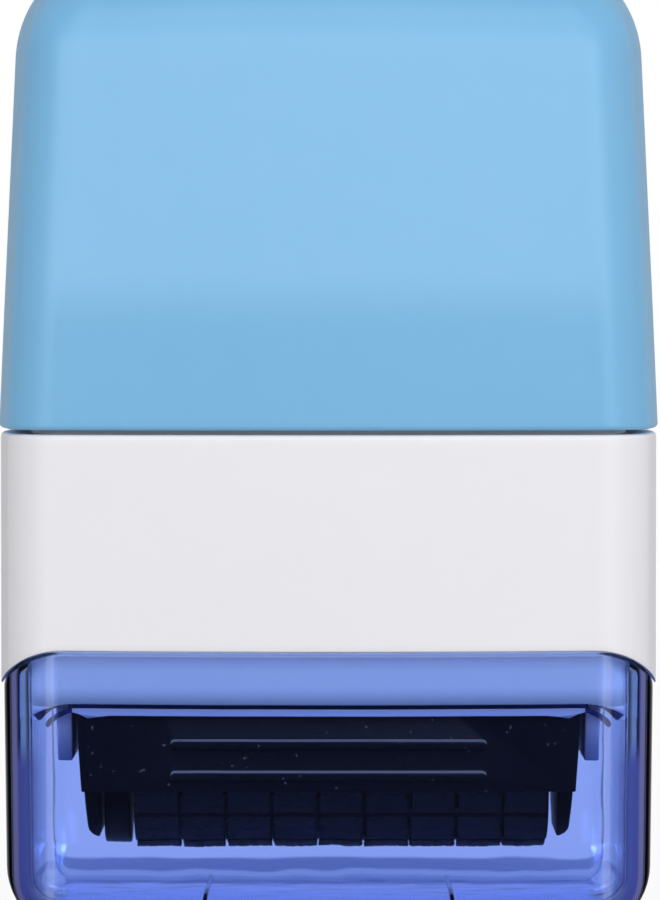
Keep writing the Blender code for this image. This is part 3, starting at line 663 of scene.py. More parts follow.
def inked_rubber():
    """Black rubber, shinier where ink lies on it."""
    material, tree, shader, place = surface_tree("type_rubber")
    damp = noise(tree, place, DAMP_SIZE, detail=3.0)
    grain = noise(tree, place, RUBBER_GRAIN_SIZE)
    set_inputs(
        tree,
        shader,
        {
            "Base Color": blend_colours(tree, damp, *RUBBER_COLOURS),
            "Roughness": between(tree, damp, *RUBBER_ROUGH_SPAN),
            "Specular IOR Level": RUBBER_SPECULAR,
            "Normal": bump(tree, grain, RUBBER_GRAIN_DEPTH),
        },
    )
    return material


def wet_foam():
    """Open-celled foam, dark in its holes."""
    material, tree, shader, place = surface_tree("ink_foam")
    cells = add_node(tree, "ShaderNodeTexVoronoi", Vector=place, Scale=1.0 / FOAM_CELL)
    hole = cells.outputs["Distance"]
    set_inputs(
        tree,
        shader,
        {
            "Base Color": blend_colours(tree, hole, *FOAM_COLOURS),
            "Roughness": FOAM_ROUGH,
            "Normal": bump(tree, hole, FOAM_DEPTH),
        },
    )
    return material


def drawn_steel():
    """Steel with fine lines along its length."""
    material, tree, shader, place = surface_tree("steel")
    along = add_node(tree, "ShaderNodeMapping", Vector=place, Scale=WIRE_STRETCH)
    lines = noise(tree, along.outputs["Vector"], WIRE_LINE_SIZE, detail=3.0)
    set_inputs(
        tree,
        shader,
        {
            "Base Color": blend_colours(tree, lines, *STEEL_COLOURS),
            "Roughness": between(tree, lines, *STEEL_ROUGH_SPAN),
            "Metallic": 1.0,
        },
    )
    return material


type_rubber = inked_rubber()
ink_foam = wet_foam()
steel = drawn_steel()
print("finishes:", type_rubber.name, ink_foam.name, steel.name)

# %% [markdown]
# ## Sections of the body
# Handle, housing and cap share one plan: a rounded rectangle whose sides bow out
# a little. A skin is a stack of such sections, joined by faces. Each section here
# has far more points than the solids', so edges and reflections run smoothly.

# %% Helpers for sections and skins
CORNER_RADIUS = 0.0043
CORNER_LEAST = 0.0003
FRONT_BOW = 0.0012
SIDE_BOW = 0.0009
CORNER_LIMIT_SHARE = 0.9
CORNER_STEPS = 18
FRONT_STEPS = 40
SIDE_STEPS = 28
SHARP_ANGLE = math.radians(35)


def plan(half_width, half_depth, corner, front_bow=FRONT_BOW, side_bow=SIDE_BOW):
    """A rounded rectangle with bowed sides, anticlockwise, as rows of (x, y)."""
    room = min(half_width - side_bow, half_depth - front_bow)
    corner = min(corner, room * CORNER_LIMIT_SHARE)
    centre_x = half_width - side_bow - corner
    centre_y = half_depth - front_bow - corner
    points = []
    for side_x, side_y, start in ((1, -1, -90), (1, 1, 0), (-1, 1, 90), (-1, -1, 180)):
        for step in range(CORNER_STEPS + 1):
            turn = math.radians(start + 90 * step / CORNER_STEPS)
            x = side_x * centre_x + corner * math.cos(turn)
            y = side_y * centre_y + corner * math.sin(turn)
            points.append((x, y))
        along_side = side_x * side_y < 0
        steps = SIDE_STEPS if along_side else FRONT_STEPS
        for step in range(1, steps):
            run = 2 * step / steps - 1
            bulge = 1 - run * run
            if along_side:
                reach = centre_x + corner + side_bow * bulge
                points.append((side_x * reach, side_x * run * centre_y))
            else:
                reach = centre_y + corner + front_bow * bulge
                points.append((-side_y * run * centre_x, side_y * reach))
    return np.array(points)


def drawn_in(half_width, half_depth, inset):
    """The body's plan, drawn in evenly by an inset."""
    corner = max(CORNER_RADIUS - inset, CORNER_LEAST)
    return plan(half_width - inset, half_depth - inset, corner)


def at_height(section, height):
    """A section as points, at one height or at a height for each point."""
    return np.column_stack((section, np.broadcast_to(height, len(section))))


def skin(name, rings, material, marked_levels=()):
    """Join a stack of sections into one closed mesh; some levels take a second finish."""
    count = len(rings[0])
    last = (len(rings) - 1) * count
    faces = []
    for low in range(0, last, count):
        high = low + count
        for step in range(count):
            after = (step + 1) % count
            faces.append((low + step, low + after, high + after, high + step))
    faces.append(tuple(range(count - 1, -1, -1)))
    faces.append(tuple(range(last, last + count)))
    mesh = bpy.data.meshes.new(name)
    mesh.from_pydata(np.vstack(rings).tolist(), [], faces)
    mesh.materials.append(material)
    for level in marked_levels:
        for face in mesh.polygons[level * count : (level + 1) * count]:
            face.material_index = 1
    return add_object(name, mesh)


def smooth(piece):
    """Smooth shading, with edges kept sharp past an angle."""
    piece.data.shade_smooth()
    piece.data.set_sharp_from_angle(angle=SHARP_ANGLE)


def bake_modifiers(piece):
    """Keep what the modifiers make as the piece's plain mesh."""
    graph = bpy.context.evaluated_depsgraph_get()
    made = bpy.data.meshes.new_from_object(piece.evaluated_get(graph))
    old = piece.data
    piece.modifiers.clear()
    piece.data = made
    bpy.data.meshes.remove(old)
    made.name = piece.name


print("a section has", len(plan(0.02, 0.01, CORNER_RADIUS)), "points")

# %% [markdown]
# ## The handle
# The handle is one moulded shell. Its sides taper, and above a soft bend its front
# and back lean in to a rounded crown. The skin runs up the inside first, then round
# the lower lip and up the outside, so it has a true wall thickness.

# %% Handle outline
HANDLE_WALL = 0.0016
SIDE_TAPER = math.radians(2.5)
LEAN_RISE = 0.0088
LEAN_ANGLE = math.radians(9.9)
LEAN_BLEND = 0.0020
CROWN_HEIGHT = 0.0065
CROWN_INSET = 0.0050
LIP_ROUND = 0.0003
FIT_GAP = 0.0003
CROWN_STEPS = 28
BEND_STEPS = 6
WALL_STEPS = 10
EDGE_STEPS = 4
FLAT_MARGIN = 0.0004
SEAM_DROP = 0.00013

handle_low, handle_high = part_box("handle_shell")
handle_foot = handle_low.z - SEAM_DROP
lean_height = handle_low.z - FIT_GAP + LEAN_RISE
shoulder = handle_high.z - CROWN_HEIGHT


def handle_halves(height):
    """The handle's outer half width and half depth at one height."""
    tapered = (height - handle_low.z) * math.tan(SIDE_TAPER)
    above = height - lean_height
    if above < -LEAN_BLEND:
        leaned = 0.0
    elif above < LEAN_BLEND:
        leaned = (above + LEAN_BLEND) ** 2 / (4 * LEAN_BLEND)
    else:
        leaned = above
    return handle_high.x - tapered, handle_high.y - leaned * math.tan(LEAN_ANGLE)


def handle_rows():
    """Rows of height, inset, and how far the outward normal points out and up."""
    low = handle_foot + LIP_ROUND + FLAT_MARGIN
    shares = [step / BEND_STEPS - 1 for step in range(2 * BEND_STEPS + 1)]
    bend = [lean_height + LEAN_BLEND * share for share in shares]
    rise = (shoulder - bend[-1]) / WALL_STEPS
    upper = [bend[-1] + rise * step for step in range(1, WALL_STEPS + 1)]
    heights = [low, (low + bend[0]) / 2] + bend + upper
    rows = [(height, 0.0, 1.0, 0.0) for height in heights]
    for step in range(1, CROWN_STEPS + 1):
        turn = math.pi / 2 * step / CROWN_STEPS
        out = CROWN_HEIGHT * math.cos(turn)
        up = CROWN_INSET * math.sin(turn)
        size = math.hypot(out, up)
        height = shoulder + CROWN_HEIGHT * math.sin(turn)
        rows.append((height, CROWN_INSET * (1 - math.cos(turn)), out / size, up / size))
    return rows + [(handle_high.z, CROWN_INSET + FLAT_MARGIN, 0.0, 1.0)]


print("handle outline:", len(handle_rows()), "rows")

# %% Handle
def handle_ring(height, inset, out, up, depth):
    """A section of the outside, or of the inside when depth is the wall."""
    half_width, half_depth = handle_halves(height)
    drawn = inset + depth * out
    section = plan(half_width - drawn, half_depth - drawn, CORNER_RADIUS - depth * out)
    return at_height(section, height - depth * up)


def rounded_edge(radius):
    """Pairs of inset and rise round an edge, from the wall to the rim."""
    turns = [math.pi / 2 * step / EDGE_STEPS for step in range(EDGE_STEPS + 1)]
    return [(radius * (1 - math.cos(turn)), radius * (1 - math.sin(turn))) for turn in turns]


def rounded_lip(wall, radius):
    """Pairs of inset and rise round a wall's edge, from its inside to its outside."""
    edge = rounded_edge(radius)
    return [(wall - inset, rise) for inset, rise in edge] + edge[::-1]


rows = handle_rows()
rings = [handle_ring(*row, HANDLE_WALL) for row in reversed(rows)]
foot_width, foot_depth = handle_halves(handle_low.z)
for inset, rise in rounded_lip(HANDLE_WALL, LIP_ROUND):
    rings.append(at_height(drawn_in(foot_width, foot_depth, inset), handle_foot + rise))
rings += [handle_ring(*row, 0.0) for row in rows]
handle = skin("handle_skin", rings, handle_blue)
print("handle:", len(rings), "sections of", len(rings[0]), "points")

# %% [markdown]
# The refill clicks into two grooves inside the shell, one at each side. A boolean
# cuts them from the skin, because a loft can't make a step like that.

# %% Latch grooves
LATCH_WIDTH = 0.0034
LATCH_HEIGHT = 0.0030
LATCH_PROUD = 0.0007
GROOVE_OVERRUN = 0.001
SPIGOT_INSET = HANDLE_WALL + FIT_GAP
EDGE_SEGMENTS = 3

housing_low, housing_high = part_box("refill_housing")
latch_middle = (handle_low.z + housing_high.z) / 2
latch_reach = handle_halves(latch_middle)[0] - SPIGOT_INSET + LATCH_PROUD


def block(name, low, high, edge=0.0):
    """A box between two corners, with rounded edges if an edge size is given."""
    low, high = Vector(low), Vector(high)
    shape = bmesh.new()
    bmesh.ops.create_cube(shape, size=1.0)
    bmesh.ops.scale(shape, verts=shape.verts, vec=high - low)
    bmesh.ops.translate(shape, verts=shape.verts, vec=(low + high) / 2)
    if edge:
        bmesh.ops.bevel(
            shape,
            geom=shape.edges,
            offset=edge,
            offset_type="OFFSET",
            segments=EDGE_SEGMENTS,
            profile=0.5,
            affect="EDGES",
            clamp_overlap=True,
        )
    return keep_shape(name, shape)


def combine(piece, tools, operation):
    """Cut tools from a piece, or join them to it, and remove the tools."""
    for tool in tools:
        step = piece.modifiers.new("combine", "BOOLEAN")
        step.operation = operation
        step.solver = "EXACT"
        step.object = tool
    bake_modifiers(piece)
    for tool in tools:
        bpy.data.objects.remove(tool, do_unlink=True)


half = LATCH_WIDTH / 2 + FIT_GAP
groove = block(
    "latch_groove",
    (-latch_reach - FIT_GAP, -half, handle_low.z - GROOVE_OVERRUN),
    (latch_reach + FIT_GAP, half, latch_middle + LATCH_HEIGHT / 2 + FIT_GAP),
)
combine(handle, [groove], "DIFFERENCE")
smooth(handle)
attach(handle, "handle")
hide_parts("handle_shell")
print("latch grooves cut", round(latch_reach * 1000, 2), "mm out from the middle")

# %% [markdown]
# ## The parting line
# Seen from the front, the cap's mouth is level in the middle and falls in a quarter
# of an oval at both ends. The housing's band ends just above it, and the neck that
# fills the cap repeats the line lower down. One function serves all three.

# %% The falling line
CAP_HEIGHT = 0.0195
RIM_FALL_START = 0.0048
RIM_FALL_WIDTH = 0.0050
RIM_FALL_HEIGHT = 0.0046
CAP_STEP = 0.0002

rim_flat_half = housing_high.x - RIM_FALL_START


def falling(section, flat_half, top, grow=0.0):
    """The line's height at each point of a section."""
    past = np.clip(np.abs(section[:, 0]) - flat_half, 0.0, None)
    share = np.clip(past / (RIM_FALL_WIDTH + grow), 0.0, 1.0)
    return top + grow - (RIM_FALL_HEIGHT + grow) * (1 - np.sqrt(1 - share**2))


print("mouth is level for", round(2000 * rim_flat_half, 1), "mm")

# %% [markdown]
# ## The refill housing
# The white unit is a band, a neck that the cap slips over, a spigot that plugs into
# the handle, and a deep well for the cartridge. Its skin runs down inside the well,
# round a short lip and the groove above it, up the neck and the band, and over the
# spigot. An edge is three sections close together, so it catches a thin line of
# light.

# %% Housing sizes
CAP_DRAFT = 0.00015
NECK_GAP = 0.0001
NECK_REACH = 0.0035
NECK_FALL_STEP = 0.0009
LIP_INSET = 0.0010
LIP_DROP = 0.00084
LIP_FALL_STEP = 0.0024
LIP_FALL_LIMIT = 0.00025
LIP_RISE_START = 0.0160
LIP_THICKNESS = 0.0003
LIP_END = 0.0185
LIP_TAPER = 0.0015
LIP_LEAST_SHARE = 0.45
LIP_SHADE_START = 0.0171
GROOVE_HEIGHT = 0.00035
GROOVE_WALL = 0.00015
BAND_ROUND = 0.0003
BAND_GAP = 0.00011
FINE_ROUND = 0.00012
FINE_EDGE = ((1.0, 0.0), (0.3, 0.3), (0.0, 1.0))
WELL_CORNER = 0.0003

cap_half_width = housing_high.x - CAP_STEP
cap_half_depth = housing_high.y - CAP_STEP
seam_height = handle_foot - FIT_GAP
neck_inset = CAP_WALL + CAP_DRAFT + NECK_GAP
neck_bottom = CAP_HEIGHT - NECK_REACH
neck_flat_half = rim_flat_half - NECK_FALL_STEP
lip_flat_half = neck_flat_half - LIP_FALL_STEP
well_half_width, well_half_depth, well_roof = (
    reach + FIT_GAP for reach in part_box("cartridge_lid")[1]
)
print("neck ends", round(neck_bottom * 1000, 1), "mm up")

# %% [markdown]
# Some sections lie at one height, and the others lie on a line that falls at both
# ends: the neck's, the lip's or the band's. A function makes each kind.

# %% Housing lines
def neck_line(section, drop=0.0):
    """The neck's lower line, or one just below it."""
    return falling(section, neck_flat_half, neck_bottom - drop)


def lip_line(section):
    """The lip's lower line: it dips beside the cartridge and ends at the corners."""
    falls = falling(section, lip_flat_half, neck_bottom - LIP_DROP)
    rise = np.clip(np.abs(section[:, 0]) - LIP_RISE_START, 0.0, None)
    dip = neck_bottom - LIP_DROP - LIP_FALL_LIMIT + rise
    thin = np.clip((LIP_END - np.abs(section[:, 0])) / LIP_TAPER, LIP_LEAST_SHARE, 1.0)
    under_groove = neck_line(section, GROOVE_HEIGHT) - LIP_THICKNESS * thin
    return np.minimum(np.maximum(falls, dip), under_groove)


def well_plan(inset):
    """The plan of the cartridge's well, drawn in by an inset."""
    return plan(well_half_width - inset, well_half_depth - inset, WELL_CORNER, 0.0, 0.0)


def neck_ring(inset, lift, line=neck_line):
    """A section of the neck, just over a line that its outer wall sets."""
    section = drawn_in(cap_half_width, cap_half_depth, neck_inset + inset)
    outer = drawn_in(cap_half_width, cap_half_depth, neck_inset)
    return at_height(section, line(outer) + lift)


def band_ring(section, lift):
    """A section just over the band's lower line."""
    return at_height(section, falling(section, rim_flat_half, CAP_HEIGHT, BAND_GAP) + lift)


print("lip ends", round(LIP_END * 1000, 1), "mm out from the middle")

# %% [markdown]
# The stack goes from the well's roof down to the lip, then up the outside. The groove
# and the lip's outer ends are painted dark as shade: the faces there take a second
# finish.

# %% Housing
GROOVE_FACE_ROWS = 3
LIP_FACE_ROWS = 4


def well_rings():
    """The well's roof and its mouth, which lies on the lip's line."""
    mouth = well_plan(0.0)
    roof = [at_height(well_plan(inset), well_roof) for inset in (FLAT_MARGIN, 0.0)]
    return roof + [at_height(mouth, lip_line(mouth))]


def neck_rings():
    """The neck's inner lip, its groove and its wall, going up."""
    rings = [
        neck_ring(LIP_INSET + FINE_ROUND * inset, FINE_ROUND * lift, lip_line)
        for inset, lift in FINE_EDGE
    ]
    rings.append(neck_ring(LIP_INSET, -GROOVE_HEIGHT))
    groove_back = well_plan(-GROOVE_WALL)
    for drop in (GROOVE_HEIGHT, 0.0):
        rings.append(at_height(groove_back, neck_line(groove_back, drop)))
    for inset, lift in FINE_EDGE:
        rings.append(neck_ring(FINE_ROUND * inset, FINE_ROUND * lift))
    return rings + [neck_ring(0.0, FINE_ROUND + FLAT_MARGIN)]


def band_rings():
    """The step from the neck to the band, the band's wall and its upper edge."""
    width, depth = housing_high.x, housing_high.y
    rings = [band_ring(drawn_in(cap_half_width, cap_half_depth, neck_inset), 0.0)]
    for inset, lift in FINE_EDGE:
        section = drawn_in(width, depth, FINE_ROUND * inset)
        rings.append(band_ring(section, FINE_ROUND * lift))
    section = drawn_in(width, depth, 0.0)
    rings.append(band_ring(section, FINE_ROUND + FLAT_MARGIN))
    rings.append(at_height(section, seam_height - BAND_ROUND - FLAT_MARGIN))
    for inset, drop in rounded_edge(BAND_ROUND):
        rings.append(at_height(drawn_in(width, depth, inset), seam_height - drop))
    return rings


def spigot_rings():
    """The spigot that plugs into the handle, and its closed deck."""
    width, depth = handle_halves(housing_high.z)
    top = housing_high.z
    steps = [(0.0, seam_height)]
    for drop, inset in FINE_EDGE:
        steps.append((BAND_ROUND * inset, top - BAND_ROUND * drop))
    steps.append((BAND_ROUND + FLAT_MARGIN, top))
    return [
        at_height(drawn_in(width, depth, SPIGOT_INSET + inset), height)
        for inset, height in steps
    ]


rings = well_rings()
groove_start = len(rings) + len(FINE_EDGE)
groove_levels = range(groove_start, groove_start + GROOVE_FACE_ROWS)
rings += neck_rings() + band_rings() + spigot_rings()
housing = skin("housing_skin", rings, housing_white, groove_levels)
# The second finish is painted shade in the groove and at the lip's outer ends.
housing.data.materials.append(painted_groove_shade)
count = len(rings[0])
lip_start = groove_start - LIP_FACE_ROWS
for face in housing.data.polygons[lip_start * count : groove_start * count]:
    if abs(face.center.x) > LIP_SHADE_START:
        face.material_index = 1
print("housing:", len(rings), "sections of", count, "points")

# %% [markdown]
# Two guide fins run down beside the cartridge, and two small bumps on the spigot
# click into the handle. They are rounded blocks joined on. The fins' sides slant, so
# their faces and the housing's are cut into triangles first: these are truly flat,
# and the boolean then leaves no open seam.

# %% Fins and latch bumps
FIN_WIDTH = 0.0011
FIN_HALF_DEPTH = 0.0100
FIN_SLANT_SHARE = 0.20
FIN_OVERLAP = 0.0012
FIN_LONGER = 0.0003
FIN_EDGE = 0.00014

fin_end = housing_low.z - FIN_LONGER
fin_top = neck_bottom + FIN_OVERLAP
added = []
for side in (-1, 1):
    left, right = sorted((side * well_half_width, side * (well_half_width + FIN_WIDTH)))
    fin = block(
        "guide_fin",
        (left, -FIN_HALF_DEPTH, fin_end),
        (right, FIN_HALF_DEPTH, fin_top),
        FIN_EDGE,
    )
    for point in fin.data.vertices:
        down = (fin_top - point.co.z) / (fin_top - fin_end)
        point.co.y *= 1.0 - FIN_SLANT_SHARE * down
    fin.modifiers.new("flat_faces", "TRIANGULATE")
    added.append(fin)
bumps = block(
    "latch_bumps",
    (-latch_reach, -LATCH_WIDTH / 2, latch_middle - LATCH_HEIGHT / 2),
    (latch_reach, LATCH_WIDTH / 2, latch_middle + LATCH_HEIGHT / 2),
    FIN_EDGE,
)
added.append(bumps)
housing.modifiers.new("flat_faces", "TRIANGULATE")
combine(housing, added, "UNION")
smooth(housing)
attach(housing, "refill")
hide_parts("refill_housing")
print("joined", len(added), "blocks to the housing")

# %% [markdown]
# ## The clear cap
# Clear plastic shows every edge twice, once from each side of its wall, so this
# piece needs the smoothest skin of all. Its sections run up the outside, over a
# rounded rim that follows the parting line, and down the inside to the floor.

# %% Cap
CAP_FLOOR = 0.0020
CAP_BOTTOM_ROUND = 0.0043
RIM_ROUND = 0.00025
COVE_STEPS = 12
DRAFT_OVERRUN = 0.0020

draft_run = CAP_HEIGHT + DRAFT_OVERRUN - CAP_BOTTOM_ROUND


def cap_ring(inset, height):
    """A section of the cap at a height, drawn in by an inset and its slight draft."""
    draft = CAP_DRAFT * min(1.0, 1.0 - (height - CAP_BOTTOM_ROUND) / draft_run)
    section = drawn_in(cap_half_width, cap_half_depth, inset + draft)
    return at_height(section, height)


def rim_ring(inset, drop):
    """A section of the cap's rim, just under the parting line."""
    section = drawn_in(cap_half_width, cap_half_depth, inset)
    return at_height(section, falling(section, rim_flat_half, CAP_HEIGHT) - drop)


def cove(inset, floor, radius):
    """Sections of a round corner between a floor and a wall, from the floor up."""
    rings = [cap_ring(inset + radius + FLAT_MARGIN, floor)]
    for step in range(COVE_STEPS + 1):
        turn = math.pi / 2 * step / COVE_STEPS
        drawn = inset + radius * (1 - math.sin(turn))
        rings.append(cap_ring(drawn, floor + radius * (1 - math.cos(turn))))
    return rings


inside_round = CAP_BOTTOM_ROUND - CAP_FLOOR
rings = cove(0.0, 0.0, CAP_BOTTOM_ROUND)
rings.append(cap_ring(0.0, CAP_BOTTOM_ROUND + FLAT_MARGIN))
rings.append(rim_ring(0.0, RIM_ROUND + FLAT_MARGIN))
rings += [rim_ring(inset, drop) for inset, drop in reversed(rounded_lip(CAP_WALL, RIM_ROUND))]
rings.append(rim_ring(CAP_WALL, RIM_ROUND + FLAT_MARGIN))
rings.append(cap_ring(CAP_WALL, CAP_BOTTOM_ROUND + FLAT_MARGIN))
rings += reversed(cove(CAP_WALL, CAP_FLOOR, inside_round))
cap = skin("cap_skin", rings, cap_blue)
print("cap:", len(rings), "sections, wall", round(CAP_WALL * 1000, 1), "mm")

# %% [markdown]
# Two thin ribs cross the cap's floor from front to back. They are sunk halfway into
# the floor before they are joined, so no seam is left under them.

# %% Floor ribs
FLOOR_RIB_OFFSET = 0.0083
FLOOR_RIB_WIDTH = 0.00028
FLOOR_RIB_HEIGHT = 0.00018

rib_reach = cap_half_depth - FRONT_BOW - CAP_WALL - inside_round
rib_half = FLOOR_RIB_WIDTH / 2
rib_top = CAP_FLOOR + FLOOR_RIB_HEIGHT
ribs = [
    block(
        "floor_rib",
        (middle - rib_half, -rib_reach, CAP_FLOOR / 2),
        (middle + rib_half, rib_reach, rib_top),
        FINE_ROUND / 2,
    )
    for middle in (-FLOOR_RIB_OFFSET, FLOOR_RIB_OFFSET)
]
combine(cap, ribs, "UNION")
smooth(cap)
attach(cap, "cap")
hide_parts("cap_shell")
print("cap ribs", round(2000 * FLOOR_RIB_OFFSET, 1), "mm apart")

# %% [markdown]
# ## Crisp pieces with soft edges
# No real edge is perfectly sharp. The cartridge, its lid, the bearings, flanges and
# axles keep their solids' shapes. Each is copied, its loose triangles are merged
# into whole faces, and its edges get a small round that catches the light.

# %% Rounded copies
CARTRIDGE_EDGE = 0.00014
SMALL_EDGE = 0.00010
MERGE_DISTANCE = 0.000002
FLAT_ANGLE = math.radians(1.0)


def rounded_copy(node, edge, material, body):
    """A copy of a solid with rounded edges and a finish, riding on its body."""
    shape = bmesh.new()
    shape.from_mesh(frame["nodes"][node].data)
    bmesh.ops.remove_doubles(shape, verts=shape.verts, dist=MERGE_DISTANCE)
    bmesh.ops.dissolve_limit(
        shape, angle_limit=FLAT_ANGLE, verts=shape.verts, edges=shape.edges
    )
    piece = keep_shape(node + "_skin", shape)
    piece.data.materials.append(material)
    if edge:
        soften = piece.modifiers.new("soften", "BEVEL")
        soften.width = edge
        soften.segments = EDGE_SEGMENTS
        soften.limit_method = "ANGLE"
        soften.angle_limit = SHARP_ANGLE
        bake_modifiers(piece)
    smooth(piece)
    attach(piece, body)
    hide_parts(node)


for name in ("cartridge_frame", "cartridge_lid"):
    rounded_copy(name, CARTRIDGE_EDGE, cartridge_black, "refill")
for side in ("left", "right"):
    for name in ("type_bush_", "ink_bearing_"):
        rounded_copy(name + side, SMALL_EDGE, bearing_plastic, "refill")
    rounded_copy("pressure_spring_" + side, 0.0, steel, "refill")
    for roller in ("type", "ink"):
        flange = f"{roller}_flange_{side}"
        rounded_copy(flange, SMALL_EDGE, cartridge_black, roller + "_roller")
for roller in ("type", "ink"):
    core, body = roller + "_core", roller + "_roller"
    rounded_copy(core, SMALL_EDGE, bearing_plastic, body)
for roller in ("type", "ink"):
    rounded_copy(roller + "_axle", 0.0, steel, roller + "_roller")
rounded_copy("ink_sleeve", SMALL_EDGE, ink_foam, "ink_roller")
print("rounded copies made")

# %% [markdown]
# ## The relief sleeve
# The roller prints nine columns of small raised strokes, in fourteen rows of pads.
# Real relief is moulded flat and wrapped round a drum, and the node tree does the
# same: it lays out pads and strokes on a flat sheet, then rolls the sheet up.

# %% Relief sizes
TYPE_RADIUS = 0.0070
RELIEF_DEPTH = 0.00045
SLEEVE_WALL = 0.0014
RELIEF_COLUMNS = 9
RELIEF_ROWS = 14
PAD_HEIGHT_SHARE = 0.93
PAD_CUTS = (2, 7)
COLUMN_GAP = 0.00030
ROW_GAP_SHARE = 0.12
STROKE_COLUMNS = 4
STROKE_ROWS = 3
STROKE_LENGTH_SHARE = 0.24
STROKE_WIDTH_SHARE = 0.085
STROKE_CUTS = (3, 2)
STROKE_CHANCE = 0.8
STROKE_TURN = 1.5
SINK = 0.00006

type_joint = next(joint for joint in frame["joints"] if joint["name"] == "type_spin")
axis_height = type_joint["pos_m"][2]
sleeve_low, sleeve_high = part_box("type_sleeve")
sleeve_length = sleeve_high.x - sleeve_low.x
sleeve_middle = (sleeve_high.x + sleeve_low.x) / 2
root_radius = TYPE_RADIUS - RELIEF_DEPTH
column_pitch = sleeve_length / RELIEF_COLUMNS
row_pitch = 2 * math.pi * root_radius / RELIEF_ROWS
print("sheet", round(sleeve_length * 1000, 1), "mm wide,", RELIEF_ROWS, "rows")

# %% [markdown]
# The tree's inputs are the sheet's sizes. Pads and strokes are instances on two
# grids of points. Strokes are turned at random, about a fifth of them are left out,
# and the last step rolls every point about the axis.

# %% Helpers for the relief
def vector(tree, **axes_given):
    """A vector from the axes given, as a socket."""
    return add_node(tree, "ShaderNodeCombineXYZ", **axes_given).outputs[0]


def plate(tree, width, tall, thick, cuts):
    """A flat block with enough cuts to bend, as geometry."""
    size = vector(tree, X=width, Y=tall, Z=thick)
    solid = add_node(tree, "GeometryNodeMeshCube", Size=size)
    return set_inputs(tree, solid, {1: cuts[0], 2: cuts[1], 3: 2}).outputs["Mesh"]


def sheet_points(tree, length, tall, columns, rows):
    """Points of a flat grid with a margin of half a pitch all round."""
    column_step = maths(tree, "DIVIDE", length, columns)
    row_step = maths(tree, "DIVIDE", tall, rows)
    grid = add_node(
        tree,
        "GeometryNodeMeshGrid",
        Size_X=maths(tree, "SUBTRACT", length, column_step),
        Size_Y=maths(tree, "SUBTRACT", tall, row_step),
        Vertices_X=columns,
        Vertices_Y=rows,
    )
    return add_node(tree, "GeometryNodeMeshToPoints", Mesh=grid.outputs["Mesh"]).outputs[0]


def raised(tree, points, instance, lift, **more):
    """An instance on every point, raised over the sheet."""
    placed = add_node(
        tree, "GeometryNodeInstanceOnPoints", Points=points, Instance=instance, **more
    )
    moved = add_node(
        tree,
        "GeometryNodeTranslateInstances",
        Instances=placed.outputs[0],
        Translation=vector(tree, Z=lift),
    )
    return moved.outputs[0]


def random_value(tree, kind, seed):
    """A node that gives each point a random value."""
    node = tree.nodes.new("FunctionNodeRandomValue")
    node.data_type = kind
    return set_inputs(tree, node, {"Seed": seed})


def together(tree, *parts):
    """Parts joined and made real, as geometry."""
    joined = tree.nodes.new("GeometryNodeJoinGeometry")
    for part in parts:
        tree.links.new(part, joined.inputs[0])
    real = add_node(tree, "GeometryNodeRealizeInstances", Geometry=joined.outputs[0])
    return real.outputs[0]


print("relief helpers ready")

# %% Node tree: relief
RELIEF_SIZES = (
    "Length",
    "Root Radius",
    "Pad Width",
    "Pad Tall",
    "Pad Height",
    "Relief Depth",
)


def relief_tree(material):
    """Pads and strokes on a flat sheet, rolled round the X axis."""
    tree = bpy.data.node_groups.new("relief", "GeometryNodeTree")
    sockets = [("Sleeve", "INPUT", "Geometry")]
    sockets += [(name, "INPUT", "Float") for name in RELIEF_SIZES]
    sockets += [("Seed", "INPUT", "Int"), ("Geometry", "OUTPUT", "Geometry")]
    for name, way, kind in sockets:
        tree.interface.new_socket(name, in_out=way, socket_type="NodeSocket" + kind)
    given = tree.nodes.new("NodeGroupInput").outputs
    sheet = (given["Length"], product(tree, given["Root Radius"], 2 * math.pi))

    pad_size = (given["Pad Width"], given["Pad Tall"])
    pad = plate(tree, *pad_size, given["Pad Height"], PAD_CUTS)
    lift = maths(tree, "SUBTRACT", product(tree, given["Pad Height"], 0.5), SINK)
    pads = raised(tree, sheet_points(tree, *sheet, RELIEF_COLUMNS, RELIEF_ROWS), pad, lift)

    grid = (RELIEF_COLUMNS * STROKE_COLUMNS, RELIEF_ROWS * STROKE_ROWS)
    length = product(tree, given["Pad Width"], STROKE_LENGTH_SHARE)
    width = product(tree, given["Pad Tall"], STROKE_WIDTH_SHARE)
    stroke = plate(tree, length, width, given["Relief Depth"], STROKE_CUTS)
    chance = random_value(tree, "BOOLEAN", given["Seed"])
    set_inputs(tree, chance, {"Probability": STROKE_CHANCE})
    angle = random_value(tree, "FLOAT", given["Seed"])
    set_inputs(tree, angle, {2: -STROKE_TURN, 3: STROKE_TURN})
    strokes = raised(
        tree,
        sheet_points(tree, *sheet, *grid),
        stroke,
        product(tree, given["Relief Depth"], 0.5),
        Selection=chance.outputs[3],
        Rotation=vector(tree, Z=angle.outputs[1]),
    )

    where = axes(tree, tree.nodes.new("GeometryNodeInputPosition").outputs[0])
    turned = maths(tree, "DIVIDE", where["Y"], given["Root Radius"])
    reach = maths(tree, "ADD", where["Z"], given["Root Radius"])
    rolled = vector(
        tree,
        X=where["X"],
        Y=product(tree, reach, maths(tree, "SINE", turned)),
        Z=product(tree, reach, maths(tree, "COSINE", turned)),
    )
    flat = together(tree, pads, strokes)
    roll = add_node(tree, "GeometryNodeSetPosition", Geometry=flat, Position=rolled)
    whole = together(tree, given["Sleeve"], roll.outputs[0])
    finish = add_node(tree, "GeometryNodeSetMaterial", Geometry=whole, Material=material)
    set_inputs(tree, tree.nodes.new("NodeGroupOutput"), {0: finish.outputs[0]})
    return tree


relief = relief_tree(type_rubber)
print("relief tree:", len(relief.nodes), "nodes")

# %% [markdown]
# The plain tube under the relief is a turned wall. The tree adds the relief to it,
# and the result is kept as a mesh and moved to the roller's axis.

# %% Relief sleeve
RELIEF_SEED = 7
SLEEVE_STEPS = 96


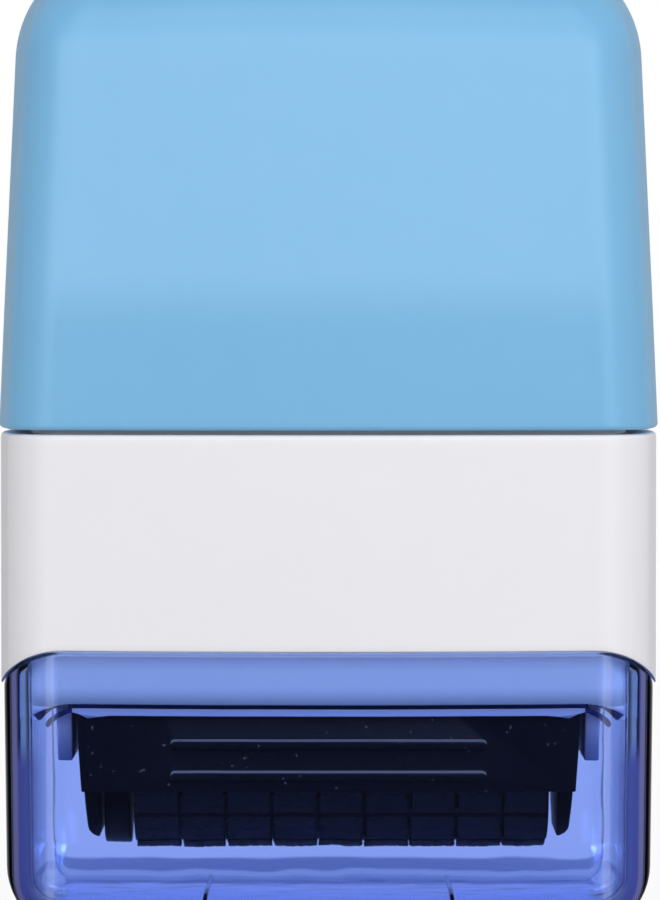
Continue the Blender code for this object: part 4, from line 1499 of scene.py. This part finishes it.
def tube(name, radius, bore, length):
    """A plain sleeve about the X axis, open from end to end."""
    ends = ((-length / 2, bore), (-length / 2, radius), (length / 2, radius), (length / 2, bore))
    turns = [2 * math.pi * step / SLEEVE_STEPS for step in range(SLEEVE_STEPS)]
    shape = bmesh.new()
    loops = [
        [shape.verts.new((x, reach * math.sin(turn), reach * math.cos(turn))) for turn in turns]
        for x, reach in ends
    ]
    for near, far in zip(loops, loops[1:] + loops[:1]):
        for step in range(SLEEVE_STEPS):
            after = (step + 1) % SLEEVE_STEPS
            shape.faces.new((near[step], near[after], far[after], far[step]))
    bmesh.ops.recalc_face_normals(shape, faces=shape.faces)
    return keep_shape(name, shape)


bore_radius = root_radius - SLEEVE_WALL + RELIEF_DEPTH
sleeve = tube("type_sleeve_skin", root_radius, bore_radius, sleeve_length)
sleeve.data.materials.append(type_rubber)
modifier = sleeve.modifiers.new("relief", "NODES")
modifier.node_group = relief
settings = {
    "Length": sleeve_length,
    "Root Radius": root_radius,
    "Pad Width": column_pitch - COLUMN_GAP,
    "Pad Tall": row_pitch * (1 - ROW_GAP_SHARE),
    "Pad Height": RELIEF_DEPTH * PAD_HEIGHT_SHARE + SINK,
    "Relief Depth": RELIEF_DEPTH,
    "Seed": RELIEF_SEED,
}
for socket in relief.interface.items_tree:
    if socket.name in settings:
        modifier[socket.identifier] = settings[socket.name]
bake_modifiers(sleeve)
sleeve.data.transform(Matrix.Translation((sleeve_middle, 0.0, axis_height)))
smooth(sleeve)
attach(sleeve, "type_roller")
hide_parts("type_sleeve")
print("relief sleeve:", len(sleeve.data.polygons), "faces")

# %% [markdown]
# ## Sizes
# The dressed stamp has to fill the same box as the solids. Both boxes are printed, in
# millimetres.

# %% Sizes
dressed_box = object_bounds()
sizes = {
    "solids": [[float(value) for value in corner] for corner in solid_box],
    "dressed": [[float(value) for value in corner] for corner in dressed_box],
}
for name, (low, high) in sizes.items():
    print(name, [round(1000 * (b - a), 2) for a, b in zip(low, high)], "mm")
